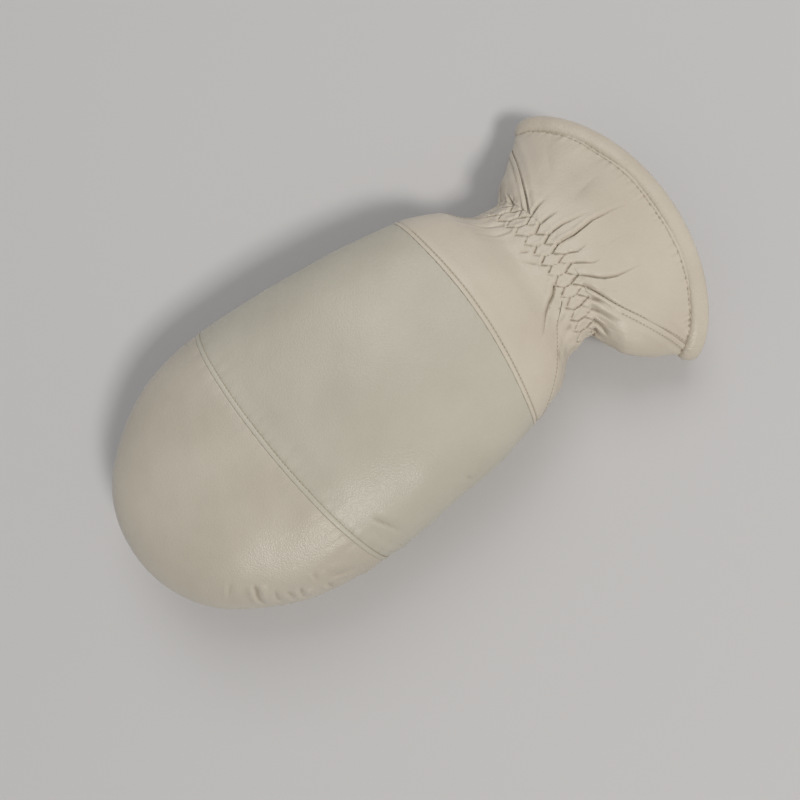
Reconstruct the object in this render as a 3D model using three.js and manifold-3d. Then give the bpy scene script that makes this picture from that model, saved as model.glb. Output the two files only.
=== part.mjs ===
// A leather mitten with a sheepskin lining, for the right hand. It lies palm down, with its thumb folded under the palm.
// Millimetres, +Z up. +X runs from the fingertips to the cuff, and the thumb is on the -Y side.
// The back is three panels sewn across, gathered round the fingertips onto a flat palm, then a shirred elastic wrist
// and a flared cuff of three panels with a rolled binding. A fur lining runs from the binding to the fingertips.

import * as THREE from "three";
import { mergeVertices } from "three/addons/utils/BufferGeometryUtils.js";
import Module from "manifold-3d";

const wasm = await Module();
wasm.setup();

// Driving dimensions
const LEATHER = 1.6; // thickness of the outer leather
const GAP = 0.3; // room left between pieces that are sewn edge to edge
const CENTRE_X = 145.6; // the stations below count from the fingertips, and the frame's origin is at mid length
const CENTRE_Y = -2.05; // the cuff flares a little further on the thumb side
const TIP = 88; // fingertips to the first seam, where the hand is widest
const SECOND_SEAM = 184; // fingertips to the seam behind the knuckles
const HAND_END = 219; // where the elastic starts
const CUFF_START = 231; // where the elastic ends
const HEM_SIDE = 260; // the cuff's edge at its two sides
const DOME = 2.35; // roundness of the back's section: 2 is an ellipse, more is fuller
const ROLL = 2.6; // roundness of the sides below the widest line
const PLAN = 2.1; // roundness of the fingertips seen from above
const SWEEP = 1.4; // how the elastic's and the cuff's edges curve out from the sides: less is fuller
const SKEW = { at: 96, reach: 50, slope: 0.1 }; // round the first seam, the far side lies nearer to the fingertips

// One row for each station along the hand: half the width, then heights above the surface it lies on: the back, the
// widest line, the palm's seam and the palm's middle. inset is how far inside the widest line the palm's seam lies.
const HAND = [
  { at: 0, half: 67, back: 71, side: 31, seam: 7, palm: -3, inset: 10 },
  { at: 40, half: 67, back: 71, side: 32, seam: 5, palm: -3, inset: 10 },
  { at: 88, half: 67, back: 72, side: 34.5, seam: 6, palm: -2, inset: 11 },
  { at: 100, half: 66.7, back: 73.5, side: 35.5, seam: 9.5, palm: 13, inset: 11.5 },
  { at: 112, half: 66, back: 74.5, side: 36, seam: 12, palm: 22, inset: 12 },
  { at: 135, half: 63.5, back: 75, side: 38, seam: 15, palm: 26, inset: 13 },
  { at: 160, half: 60.5, back: 73, side: 39, seam: 17, palm: 26.5, inset: 14 },
  { at: 184, half: 55.5, back: 68, side: 38, seam: 17, palm: 25, inset: 14 },
  { at: 200, half: 50.5, back: 62.5, side: 36, seam: 15, palm: 18, inset: 15 },
  { at: 211, half: 45, back: 57.5, side: 34, seam: 14, palm: 14, inset: 17 },
  { at: 219, half: 37.5, back: 52.5, side: 33, seam: 15, palm: 13.5, inset: 18 },
];

// How far round the section the two side seams have climbed: under the hand at the fingers, on top at the wrist.
const SIDE_SEAM = [
  { at: 88, thumb: -90, far: 270 },
  { at: 145, thumb: -90, far: 270 },
  { at: 172, thumb: -45, far: 238 },
  { at: 190, thumb: 2, far: 192 },
  { at: 205, thumb: 34, far: 172 },
  { at: 219, thumb: 62, far: 151 },
];

// How far the seams across the back bow along the hand in its middle: the first to the tip, the others to the cuff.
const BOW = [
  { at: 88, back: -4 },
  { at: 105, back: -2.5 },
  { at: 140, back: 1.5 },
  { at: 184, back: 6 },
  { at: 219, back: 6.5 },
];

// The elastic and the cuff: along is 0 where the elastic starts, 1 where it ends and 2 at the cuff's edge. over and
// below are how far the middle of the upper and the lower sheet reaches past the sides, as each is a fan.
const WRIST = [
  { along: 0, half: 36.8, top: 52, under: 14.5, shift: 0, over: 6.5, below: 0 },
  { along: 1, half: 36.4, top: 51, under: 13, shift: 0, over: 6.5, below: 1 },
  { along: 1.2, half: 48, top: 51, under: 10.5, shift: -3, over: 10, below: 6 },
  { along: 1.5, half: 55.5, top: 48.5, under: 5.5, shift: -3.8, over: 16, below: 14 },
  { along: 1.8, half: 61.5, top: 44.5, under: 1.9, shift: -2.8, over: 22.5, below: 22 },
  { along: 2, half: 66, top: 41.5, under: 1.3, shift: -2.5, over: 26, below: 26 },
];

// Where the cuff's three seams run, in degrees round the section, at the elastic and at the edge.
const CUFF_SEAMS = {
  thumb: { wrist: 60, edge: 12 },
  far: { wrist: 128, edge: 200 },
  palm: { wrist: 275, edge: 268 },
};

// Stations and turns where the hand's pieces have their corners, the same in every piece so that their walls are even.
const GATHERED = { from: TIP, to: 118, count: 5 };
const STATIONS = [118, 131, 144, 157, 170, 177, 184, 191, 198, 205, 211, 215.5, HAND_END];
const WHOLE_HAND = [TIP, 98, 108, ...STATIONS];
const SIDE_TURNS = [-90, -64, -40, -18, 2, 22, 44, 67, 90];
const SEAM_TURN = 0.5; // degrees left free along a side seam

const GATHER = { depth: 1.5, tipCount: 29 };
const SHIRRING = { columns: 68, puff: 1.9, zigzag: 1.6 };
const CUFF_FOLD = { columns: 60, depth: 2.1, fade: 0.55 };
const BINDING = { start: 0.45, length: 6.2, thickness: 4.6, around: 60, sides: 6 };
const THUMB = { half: 20.5, thick: 21, wall: LEATHER };
const THUMB_ROUTE = [
  { at: 199, y: -25, z: 35, width: 0.7, rise: 0.9 },
  { at: 193, y: -27, z: 27, width: 0.85, rise: 1.0 },
  { at: 185, y: -28.5, z: 18.5, width: 0.95, rise: 1.1 },
  { at: 174, y: -29.5, z: 13.5, width: 1.0, rise: 1.12 },
  { at: 158, y: -29, z: 11, width: 1.0, rise: 1.03 },
  { at: 136, y: -26, z: 10.1, width: 0.97, rise: 1.0 },
  { at: 117, y: -23, z: 9.8, width: 0.88, rise: 0.97 },
];
const THUMB_TIP = 20; // how far the rounded end reaches past the route's last station
const FUR = { start: 2.5, cuffStart: 4, fingers: 10, wrist: 7.5, cuff: 8.5, lump: 1.3, mouth: 1.93 };
const HAND_FUR = [
  { at: 88, depth: 10 },
  { at: 184, depth: 9.5 },
  { at: 212, depth: 8 },
];

const CREAM = { color: "#c9bfa9", roughness: 0.48, metalness: 0 };
const DARK_FUR = { color: "#4b4947", roughness: 0.95, metalness: 0 };

const radians = THREE.MathUtils.degToRad;
const power = (value, exponent) => Math.sign(value) * Math.abs(value) ** exponent;
const steps = (from, to, count) => Array.from({ length: count + 1 }, (_, i) => from + ((to - from) * i) / count);

// A column of a table at a place between its rows, on a smooth curve through them.
function look(table, key, column, place) {
  const last = table.length - 1;
  let i = 0;
  while (i < last - 1 && place > table[i + 1][key]) i += 1;
  const slope = (k) => {
    const a = table[Math.max(0, k - 1)];
    const b = table[Math.min(last, k + 1)];
    return (b[column] - a[column]) / (b[key] - a[key]);
  };
  const span = table[i + 1][key] - table[i][key];
  const t = THREE.MathUtils.clamp((place - table[i][key]) / span, 0, 1);
  const rise = table[i + 1][column] - table[i][column];
  const bend = (1 - t) * (slope(i) * span - rise) + t * (rise - slope(i + 1) * span);
  return table[i][column] + t * rise + t * (1 - t) * bend;
}

const hand = (column, at) => look(HAND, "at", column, at);
const wrist = (column, along) => look(WRIST, "along", column, along);

// A point in the part's frame from a station, a sideways place and a height that stays on or above the surface.
function place(at, y, z, lowest) {
  const skew = SKEW.slope * y * Math.exp(-(((at - SKEW.at) / SKEW.reach) ** 2));
  return new THREE.Vector3(at - skew - CENTRE_X, y - CENTRE_Y, Math.max(z, lowest));
}

// How far a gather lifts the leather: whole at the palm's seam, none above the widest line.
function gatherLift(turn, ridge) {
  const fade = 1 - THREE.MathUtils.smoothstep(turn, -15, 40);
  return ridge * GATHER.depth * fade;
}

// Where a side seam has got to in its climb, in degrees round the section.
function sideSeam(side, at) {
  const turn = look(SIDE_SEAM, "at", side, at);
  return side === "thumb" ? Math.max(turn, -90) : Math.min(turn, 270);
}

// The height of the back's dome over the widest line, as a share of its middle's, at a share of the way out.
const dome = (out) => Math.max(0, 1 - out ** DOME) ** (1 / DOME);

// The share of the way out, seen from above, of a place given as shares along and across the hand.
const planShare = (along, across) => (Math.abs(along) ** PLAN + Math.abs(across) ** PLAN) ** (1 / PLAN);

// How much nearer the middle the roll below the widest line is at one turn, and its height.
function sideRoll(at, turn, inside) {
  const angle = radians(turn);
  const drawn = hand("inset", at) * (1 - power(Math.cos(angle), 2 / ROLL));
  const drop = (hand("side", at) - hand("seam", at) - inside) * power(Math.sin(-angle), 2 / ROLL);
  return { drawn, z: hand("side", at) - drop };
}

// The palm's height at a share of the way out to its seam. It is flat where it rests.
function palmHeight(at, palm, share) {
  const height = palm + (hand("seam", at) - palm) * Math.abs(share) ** 2.4;
  return Math.max(height, 0);
}

// A point on the hand behind the first seam, depth millimetres under its surface. turn goes once round the section:
// 0 at the thumb side's widest line, 90 on the back, 180 at the far side's, 270 at its palm seam, then on across the
// palm to 450, which is -90, at the thumb side's palm seam. Over the back, a station bows as the seams do.
function handPoint(at, turn, depth, ridge = 0) {
  const round = THREE.MathUtils.euclideanModulo(turn + 90, 540) - 90;
  const half = hand("half", at);
  if (round > 270) {
    const share = 1 - (round - 270) / 90;
    const z = palmHeight(at, hand("palm", at), share) + depth;
    return place(at, share * (half - depth - hand("inset", at)), z, depth);
  }
  const nearness = round > 90 ? 180 - round : round;
  const sign = round > 90 ? 1 : -1;
  const inside = depth - gatherLift(nearness, ridge);
  if (nearness < 0) {
    const roll = sideRoll(at, nearness, inside);
    return place(at, sign * (half - inside - roll.drawn), roll.z, depth);
  }
  const out = power(Math.cos(radians(nearness)), 2 / DOME);
  const bowed = at + look(BOW, "at", "back", at) * (1 - out ** 2);
  const behind = Math.max(bowed, TIP);
  const height = dome(planShare((behind - bowed) / (TIP - inside), out));
  const side = hand("side", bowed);
  const z = side + (hand("back", behind) - inside - side) * height;
  return place(bowed, sign * (hand("half", behind) - inside) * out, z, depth);
}

// The same for the fingertips, fanned from the middle of the first seam. bearing is -90 on the thumb side, 0 at the
// tip and 90 on the far side. turn is 90 at the fan's middle, 0 at the widest line, -90 at the palm's seam and -180
// at the palm's middle.
function tipPoint(bearing, turn, depth, ridge = 0) {
  const inside = turn < -90 ? depth : depth - gatherLift(turn, ridge);
  const forth = power(Math.cos(radians(bearing)), 2 / PLAN);
  const aside = power(Math.sin(radians(bearing)), 2 / PLAN);
  const at = TIP * (1 - forth);
  const [long, wide] = [TIP - inside, hand("half", TIP) - inside];
  if (turn >= 0) {
    const out = power(Math.cos(radians(turn)), 2 / DOME);
    const forward = long * out * forth - look(BOW, "at", "back", TIP) * (1 - out ** 2);
    const side = hand("side", TIP - forward);
    const height = dome(planShare(forward / long, out * aside));
    const z = side + (hand("back", TIP) - inside - side) * height;
    return place(TIP - forward, wide * out * aside, z, depth);
  }
  if (turn >= -90) {
    const roll = sideRoll(at, turn, inside);
    return place(TIP - (long - roll.drawn) * forth, (wide - roll.drawn) * aside, roll.z, depth);
  }
  const share = 1 - (-90 - turn) / 90;
  const inset = hand("inset", at);
  const z = palmHeight(at, hand("palm", TIP), share) + depth;
  return place(TIP - (long - inset) * share * forth, (wide - inset) * share * aside, z, depth);
}

// A point on the elastic (along 0 to 1) or the cuff (1 to 2). turn is 0 at the thumb side, 90 on top, 270 underneath.
function wristPoint(along, turn, depth, forward = 0) {
  const angle = radians(turn);
  const top = wrist("top", along);
  const under = wrist("under", along);
  const middle = (top + under) / 2;
  const reach = wrist(Math.sin(angle) > 0 ? "over" : "below", along) * Math.abs(Math.sin(angle)) ** SWEEP;
  const elasticStation = HAND_END + along * (CUFF_START - HAND_END);
  const cuffStation = CUFF_START + (along - 1) * (HEM_SIDE - CUFF_START);
  const at = (along > 1 ? cuffStation : elasticStation) + reach + forward;
  const y = wrist("shift", along) - (wrist("half", along) - depth) * Math.cos(angle);
  const z = middle + ((top - under) / 2 - depth) * Math.sin(angle);
  return place(at, y, z, depth);
}

// A closed skin, gathered from patches of points whose edges meet.
class Skin {
  constructor() {
    this.corners = [];
  }

  triangle(a, b, c) {
    const near = (p, q) => p.distanceToSquared(q) < 1e-6;
    if (!near(a, b) && !near(b, c) && !near(a, c)) this.corners.push(a, b, c);
  }

  // Four corners in turn, split along the shorter diagonal.
  quad(a, b, c, d) {
    if (a.distanceTo(c) < b.distanceTo(d) + 1e-4) {
      this.triangle(a, b, c);
      this.triangle(a, c, d);
    } else {
      this.triangle(b, c, d);
      this.triangle(b, d, a);
    }
  }

  // A patch between two lists of parameters. Turned over, it faces the other way.
  patch(pointAt, rows, columns, over = false) {
    const grid = rows.map((r, i) => columns.map((c, j) => pointAt(r, c, i, j)));
    for (let i = 0; i + 1 < rows.length; i += 1) {
      for (let j = 0; j + 1 < columns.length; j += 1) {
        const corners = [grid[i][j], grid[i + 1][j], grid[i + 1][j + 1], grid[i][j + 1]];
        this.quad(...(over ? corners.reverse() : corners));
      }
    }
    return this;
  }

  geometry() {
    const flat = new THREE.BufferGeometry().setFromPoints(this.corners);
    const merged = mergeVertices(flat, 1e-3);
    const volume = signedVolume(merged);
    if (volume < 0) merged.index.array.reverse();
    return merged;
  }
}

function signedVolume(geometry) {
  const corner = (i) => new THREE.Vector3().fromBufferAttribute(geometry.attributes.position, geometry.index.array[i]);
  let sum = 0;
  for (let i = 0; i < geometry.index.count; i += 3) sum += corner(i).dot(corner(i + 1).cross(corner(i + 2))) / 6;
  return sum;
}

// A panel of leather: its outside, its inside one thickness deeper, and its four cut edges.
function panel(pointAt, rows, columns, skin = new Skin()) {
  const [lastRow, lastColumn] = [rows.length - 1, columns.length - 1];
  const walls = [0, LEATHER];
  skin.patch((r, c, i, j) => pointAt(r, c, 0, i, j), rows, columns);
  skin.patch((r, c, i, j) => pointAt(r, c, LEATHER, i, j), rows, columns, true);
  for (const i of [0, lastRow]) {
    skin.patch((c, depth, j) => pointAt(rows[i], c, depth, i, j), columns, walls, i === lastRow);
  }
  for (const j of [0, lastColumn]) {
    skin.patch((r, depth, i) => pointAt(r, columns[j], depth, i, j), rows, walls, j === 0);
  }
  return skin;
}

// A tube of leather that closes on itself, with its outside, inside and two open rims.
function band(pointAt, rows, columns) {
  const skin = new Skin();
  const walls = [0, LEATHER];
  skin.patch((r, c, i, j) => pointAt(r, c, 0, i, j), rows, columns);
  skin.patch((r, c, i, j) => pointAt(r, c, LEATHER, i, j), rows, columns, true);
  for (const i of [0, rows.length - 1]) {
    skin.patch((c, depth, j) => pointAt(rows[i], c, depth, i, j), columns, walls, i !== 0);
  }
  return skin;
}

const PALM_TURNS = steps(-90, -180, 4);
const FAR_TURNS = SIDE_TURNS.slice(0, -1).reverse().map((turn) => 180 - turn);
const ridgeOf = (index) => (index % 2 === 1 ? 1 : 0);

function fingertipPanel() {
  const bearings = steps(-90, 90, 2 * GATHER.tipCount);
  const pointAt = (bearing, turn, depth, i) => {
    const p = tipPoint(bearing, turn, depth, ridgeOf(i));
    p.x -= GAP / 2;
    return p;
  };
  return panel(pointAt, bearings, SIDE_TURNS).geometry();
}

// The back between the two side seams. Its columns end at a seam where the seam has climbed past them.
function backPanel(stations, ridges) {
  const pointAt = (at, column, depth, i) => {
    const thumb = sideSeam("thumb", at);
    const far = sideSeam("far", at);
    return handPoint(at, THREE.MathUtils.clamp(column, thumb, far), depth, ridges[i]);
  };
  return panel(pointAt, stations, [...SIDE_TURNS, ...FAR_TURNS]).geometry();
}

function knucklePanel() {
  const gathered = steps(GATHERED.from, GATHERED.to, 2 * GATHERED.count);
  const stations = [...gathered, ...STATIONS.filter((at) => at > GATHERED.to && at <= SECOND_SEAM)];
  const ridges = stations.map((at, i) => (at < GATHERED.to ? ridgeOf(i) : 0));
  stations[0] += GAP / 2;
  stations[stations.length - 1] -= GAP / 2;
  return backPanel(stations, ridges);
}

function wristPanel() {
  const stations = STATIONS.filter((at) => at >= SECOND_SEAM);
  stations[0] += GAP / 2;
  stations[stations.length - 1] -= GAP / 2;
  return backPanel(stations, stations.map(() => 0));
}

// Turns across the palm panel at one station: up the thumb side as far as the seam, the palm, and up the far side.
function palmTurns(at) {
  const thumb = sideSeam("thumb", at) - SEAM_TURN;
  const far = sideSeam("far", at) - 540 + SEAM_TURN;
  const down = SIDE_TURNS.slice(1).reverse();
  const near = down.map((turn) => Math.min(turn, thumb));
  const away = down.slice().reverse().map((turn) => Math.max(-360 - turn, far));
  return [...near, ...steps(-90 - SEAM_TURN, -270 + SEAM_TURN, 8), ...away];
}

function palmPanel() {
  const skin = new Skin();
  const walls = [0, LEATHER];
  const bearings = steps(-90, 90, 24);
  const tipTurns = steps(-90 - SEAM_TURN, -180, 4);
  const stations = [...WHOLE_HAND];
  const end = stations.length - 1;
  stations[end] -= GAP / 2;
  const columns = palmTurns(TIP).map((_, i) => i);
  const across = (at, column, depth) => handPoint(at, palmTurns(at)[column], depth);
  for (const depth of walls) {
    skin.patch((bearing, turn) => tipPoint(bearing, turn, depth), bearings, tipTurns, depth > 0);
    skin.patch((at, column) => across(at, column, depth), stations, columns, depth === 0);
  }
  skin.patch((bearing, depth) => tipPoint(bearing, tipTurns[0], depth), bearings, walls, true);
  skin.patch((at, depth) => across(at, 0, depth), stations, walls);
  skin.patch((at, depth) => across(at, columns.length - 1, depth), stations, walls, true);
  skin.patch((column, depth) => across(stations[end], column, depth), columns, walls);
  return skin.geometry();
}

function elasticWrist() {
  const rows = [GAP / 24, 0.22, 0.5, 0.78, 1 - GAP / 24];
  const turns = steps(0, 360, SHIRRING.columns);
  const pointAt = (along, turn, depth, i, j) => {
    const odd = j % 2;
    const zigzag = i > 0 && i < rows.length - 1 ? (odd ? 1 : -1) * SHIRRING.zigzag : 0;
    const puffed = (i === 1 && odd === 0) || (i === 3 && odd === 1);
    return wristPoint(along, turn, depth - (puffed ? SHIRRING.puff : 0), zigzag);
  };
  return band(pointAt, rows, turns).geometry();
}

// One panel of the cuff between two of its seams. Folds run out from the elastic and fade towards the edge.
function cuffPanel(start, end) {
  const rows = [1 + GAP / 20, 1.1, 1.25, 1.45, 1.7, 2];
  const margin = 0.35; // degrees left free at each seam
  const step = 360 / CUFF_FOLD.columns;
  const first = Math.floor(Math.min(start.wrist, start.edge) / step);
  const last = Math.ceil(Math.max(end.wrist, end.edge) / step);
  const pointAt = (along, column, depth, i) => {
    const t = along - 1;
    const from = start.wrist + (start.edge - start.wrist) * t + margin;
    const to = end.wrist + (end.edge - end.wrist) * t - margin;
    const turn = THREE.MathUtils.clamp(column * step, from, to);
    const fade = i === 0 ? 0 : Math.max(0, 1 - t / CUFF_FOLD.fade);
    const inside = turn > from && turn < to;
    const lift = inside && column % 2 !== 0 ? CUFF_FOLD.depth * fade : 0;
    return wristPoint(along, turn, depth - lift);
  };
  return panel(pointAt, rows, steps(first, last, last - first)).geometry();
}

// The rolled binding: a flattened tube just past the cuff's edge, all the way round.
function hemBinding() {
  const skin = new Skin();
  const turns = steps(0, 360, BINDING.around);
  const sides = steps(0, 360, BINDING.sides);
  const pointAt = (turn, side) => {
    const edge = wristPoint(2, turn, LEATHER / 2);
    const out = edge.clone().sub(wristPoint(1.9, turn, LEATHER / 2)).normalize();
    const round = wristPoint(2, turn + 1, LEATHER / 2).sub(wristPoint(2, turn - 1, LEATHER / 2)).normalize();
    const up = out.clone().cross(round).normalize();
    const reach = BINDING.start + (BINDING.length / 2) * (1 - Math.cos(radians(side)));
    const lift = (BINDING.thickness / 2) * Math.sin(radians(side));
    const p = edge.addScaledVector(out, reach).addScaledVector(up, lift);
    p.z = Math.max(p.z, 0);
    return p;
  };
  return skin.patch(pointAt, turns, sides).geometry();
}

// The thumb before it is cut to the palm: a closed tube along its route, with a rounded end.
function thumbBlank(inside, extend) {
  const skin = new Skin();
  const columns = steps(0, 360, 14);
  const last = THUMB_ROUTE[THUMB_ROUTE.length - 1];
  const route = THUMB_ROUTE.map((r) => ({ ...r, scale: 1, pull: 0 }));
  for (const angle of [30, 55, 75, 90]) {
    route.push({ ...last, scale: Math.cos(radians(angle)), pull: Math.sin(radians(angle)) });
  }
  const first = route[0];
  if (extend) route.unshift({ ...first, at: first.at + 4, z: first.z + 5 });
  const pointAt = (row, column) => {
    const r = route[row];
    const back = Math.min(row + 1, THUMB_ROUTE.length - 1);
    const [a, b] = [route[Math.max(0, back - 1)], route[back]];
    const along = new THREE.Vector3(b.at - a.at, 0, b.z - a.z).normalize();
    const up = new THREE.Vector3(-along.z, 0, along.x).multiplyScalar(-1);
    const wide = (THUMB.half * r.width - inside) * r.scale;
    const high = ((THUMB.thick / 2) * r.rise - inside) * r.scale;
    const y = wide * Math.cos(radians(column));
    const z = high * power(Math.sin(radians(column)), 0.9);
    const reach = (THUMB_TIP - inside) * r.pull;
    const p = place(r.at - reach, r.y + y, r.z, 0).addScaledVector(up, z);
    p.z = Math.max(p.z, inside);
    return p;
  };
  const rows = route.map((_, i) => i);
  skin.patch(pointAt, rows, columns);
  const start = pointAt(0, 0).add(pointAt(0, 180)).multiplyScalar(0.5);
  skin.patch((column, share) => (share ? start.clone() : pointAt(0, column)), columns, [0, 1]);
  return skin.geometry();
}

// The lining's columns. Each keeps one turn round the hand and one round the wrist.
const LINING_TURNS = [
  { hand: -180, wrist: -90 },
  { hand: -90, wrist: -42 },
  { hand: 2, wrist: 0 },
  { hand: 90, wrist: 90 },
];

function liningTurns() {
  const up = [...steps(-180, -90, 4), ...SIDE_TURNS.slice(1)];
  const near = up.map((turn) => ({ hand: turn, wrist: look(LINING_TURNS, "hand", "wrist", turn) }));
  const far = near.slice(0, -1).reverse().map((turns) => ({ hand: 180 - turns.hand, wrist: 180 - turns.wrist }));
  return [...near, ...far];
}

// One surface of the lining, from the cuff's mouth to the closed fingertips: the backing against the leather, or the
// fleece, whose corners stand out by turns.
function furSurface(skin, fleece) {
  const lump = (i, j) => (fleece && (i + j) % 2 === 1 ? FUR.lump : 0);
  const turns = liningTurns();
  const count = turns.length - 1;
  const stations = WHOLE_HAND.filter((at) => ![177, 191, 205, 215.5, HAND_END].includes(at));
  const alongs = [0, 0.5, 1, 1.25, 1.45, 1.7, FUR.mouth];
  const rows = [...stations.map((at) => ({ at })), ...alongs.map((along) => ({ along }))];
  const lined = (along) => {
    const flare = THREE.MathUtils.smoothstep(along, 1, 1.25);
    return fleece ? FUR.wrist + (FUR.cuff - FUR.wrist) * flare : FUR.start + (FUR.cuffStart - FUR.start) * flare;
  };
  const pointAt = (row, column, i) => {
    const lift = i === 0 || i === rows.length - 1 ? 0 : lump(i, column % count);
    const turn = turns[column];
    if (row.along !== undefined) return wristPoint(row.along, turn.wrist, lined(row.along) - lift);
    const depth = fleece ? look(HAND_FUR, "at", "depth", row.at) : FUR.start;
    return handPoint(row.at, turn.hand, depth - lift);
  };
  skin.patch(pointAt, rows, steps(0, count, count), fleece);
  const bearings = steps(-90, 90, 14);
  const tipTurns = [...SIDE_TURNS.slice().reverse(), ...PALM_TURNS.slice(1)];
  const tipPointAt = (bearing, turn, i, j) => {
    const edge = i === 0 || i === bearings.length - 1 || j === 0 || j === tipTurns.length - 1;
    return tipPoint(bearing, turn, (fleece ? FUR.fingers : FUR.start) - (edge ? 0 : lump(i, j)));
  };
  skin.patch(tipPointAt, bearings, tipTurns, fleece);
}

function furLining() {
  const skin = new Skin();
  furSurface(skin, false);
  furSurface(skin, true);
  const rim = (turn, depth) => wristPoint(FUR.mouth, turn.wrist, depth);
  return skin.patch(rim, liningTurns(), [FUR.cuffStart, FUR.cuff], true).geometry();
}

// The hand's outer surface as one solid body, a little larger than the leather, for cutting the thumb to the palm.
function handEnvelope(depth) {
  const skin = new Skin();
  const tipTurns = [...SIDE_TURNS.slice().reverse(), ...PALM_TURNS.slice(1)];
  skin.patch((bearing, turn) => tipPoint(bearing, turn, depth), steps(-90, 90, 24), tipTurns, true);
  const ring = [...tipTurns.slice().reverse(), ...tipTurns.slice(1).map((turn) => 180 - turn)];
  skin.patch((at, turn) => handPoint(at, turn, depth), WHOLE_HAND, ring, true);
  const centre = place(HAND_END, 0, hand("side", HAND_END), 0);
  skin.patch((turn, share) => (share ? centre.clone() : handPoint(HAND_END, turn, depth)), ring, [0, 1]);
  return skin.geometry();
}

function solid(geometry) {
  const mesh = new wasm.Mesh({
    numProp: 3,
    vertProperties: geometry.attributes.position.array,
    triVerts: new Uint32Array(geometry.index.array),
  });
  return new wasm.Manifold(mesh);
}

function geometryOf(manifold) {
  const mesh = manifold.getMesh();
  const geometry = new THREE.BufferGeometry();
  geometry.setAttribute("position", new THREE.BufferAttribute(mesh.vertProperties, 3));
  geometry.setIndex(new THREE.BufferAttribute(mesh.triVerts, 1));
  return geometry;
}

const mitten = new THREE.Group();

function add(name, geometry, finish) {
  geometry.computeVertexNormals();
  const mesh = new THREE.Mesh(geometry, new THREE.MeshStandardMaterial(finish));
  mesh.name = name;
  mitten.add(mesh);
}

const thumbHollow = solid(thumbBlank(THUMB.wall, true));
const thumb = solid(thumbBlank(0, false)).subtract(solid(handEnvelope(-GAP))).subtract(thumbHollow);

add("fingertip_panel", fingertipPanel(), CREAM);
add("knuckle_panel", knucklePanel(), CREAM);
add("wrist_panel", wristPanel(), CREAM);
add("palm_panel", geometryOf(solid(palmPanel()).subtract(thumbHollow)), CREAM);
add("thumb", geometryOf(thumb), CREAM);
add("elastic_wrist", elasticWrist(), CREAM);
add("cuff_back", cuffPanel(CUFF_SEAMS.thumb, CUFF_SEAMS.far), CREAM);
add("cuff_palm_far_side", cuffPanel(CUFF_SEAMS.far, CUFF_SEAMS.palm), CREAM);
const nearEnd = { wrist: CUFF_SEAMS.thumb.wrist + 360, edge: CUFF_SEAMS.thumb.edge + 360 };
add("cuff_palm_thumb_side", cuffPanel(CUFF_SEAMS.palm, nearEnd), CREAM);
add("hem_binding", hemBinding(), CREAM);
add("fur_lining", geometryOf(solid(furLining()).subtract(thumbHollow)), DARK_FUR);

export default mitten;
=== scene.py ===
import logging
import math
from dataclasses import dataclass, field
from enum import Enum
from typing import Callable, Sequence

import bpy
import numpy as np
from mathutils import Matrix, Vector
from mathutils.bvhtree import BVHTree


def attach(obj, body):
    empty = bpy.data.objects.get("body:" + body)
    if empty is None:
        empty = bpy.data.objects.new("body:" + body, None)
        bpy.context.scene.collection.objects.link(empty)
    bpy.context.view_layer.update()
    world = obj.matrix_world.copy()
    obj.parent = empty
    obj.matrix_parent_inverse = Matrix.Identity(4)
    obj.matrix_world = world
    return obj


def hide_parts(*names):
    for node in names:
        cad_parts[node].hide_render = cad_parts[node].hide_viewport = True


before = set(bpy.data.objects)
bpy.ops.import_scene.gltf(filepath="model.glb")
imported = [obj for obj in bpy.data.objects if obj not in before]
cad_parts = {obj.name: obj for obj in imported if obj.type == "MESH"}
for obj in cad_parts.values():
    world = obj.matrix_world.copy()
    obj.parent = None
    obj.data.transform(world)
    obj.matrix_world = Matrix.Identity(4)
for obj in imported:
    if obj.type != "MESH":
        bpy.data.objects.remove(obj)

logging.basicConfig(level=logging.INFO, format="%(message)s")
log = logging.getLogger("mitten")

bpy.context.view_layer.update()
ROOT = "root"
LEATHER_SLOT = "cream_leather"
FUR_SLOT = "dark_fur"
MM = 0.001
SEED = 20
SMOOTH_BELOW = 62.0
SAME_PLACE = 0.004
SEAM_GAP = 0.02
WALL = 1.3

Array = np.ndarray
Piece = bpy.types.Object
Material = bpy.types.Material
Node = bpy.types.Node
Socket = bpy.types.NodeSocket


# Small shaping functions


def power(value: Array, exponent: float) -> Array:
    """A power that keeps the sign."""
    return np.sign(value) * np.abs(value) ** exponent


def fade(value: Array, start: float, end: float) -> Array:
    """A smooth step from 0 at start to 1 at end."""
    share = np.clip((np.asarray(value, float) - start) / (end - start), 0, 1)
    return share * share * (3 - 2 * share)


def bump(value: Array, middle: float, width: float) -> Array:
    """A smooth hill of height 1 round its middle."""
    return np.exp(-(((value - middle) / width) ** 2))


def fold_drop(distance: Array, radius: float) -> Array:
    """How far a folded edge has dropped at a distance from its end, as a quarter circle."""
    inside = np.clip(1 - distance / radius, 0, 1)
    return radius * (1 - np.sqrt(1 - inside**2))


def unit(vectors: Array) -> Array:
    """Vectors of length 1."""
    length = np.linalg.norm(vectors, axis=-1, keepdims=True)
    return vectors / np.maximum(length, 1e-12)


def graded(length: float, step: float, fine: float = 0.16, growth: float = 1.28, both: bool = True) -> Array:
    """Places from 0 to length, close together at the ends and step apart between them.

    Args:
        length: the last place.
        step: the widest spacing.
        fine: the spacing at a fine end.
        growth: how much wider each spacing is than the last.
        both: whether both ends are fine, or the last alone.

    Returns:
        The places, in order.
    """
    gaps = [fine]
    while gaps[-1] * growth < step:
        gaps.append(gaps[-1] * growth)
    last = np.array(gaps[::-1])
    first = last[::-1] if both else last[:0]
    middle = max(1, round((length - (2 if both else 1) * np.array(gaps).sum()) / step))
    places = np.concatenate([[0.0], np.cumsum(np.concatenate([first, np.full(middle, step), last]))])
    error = length - places[-1]
    return places + error * fade(places / places[-1], 0, 1)


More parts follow.
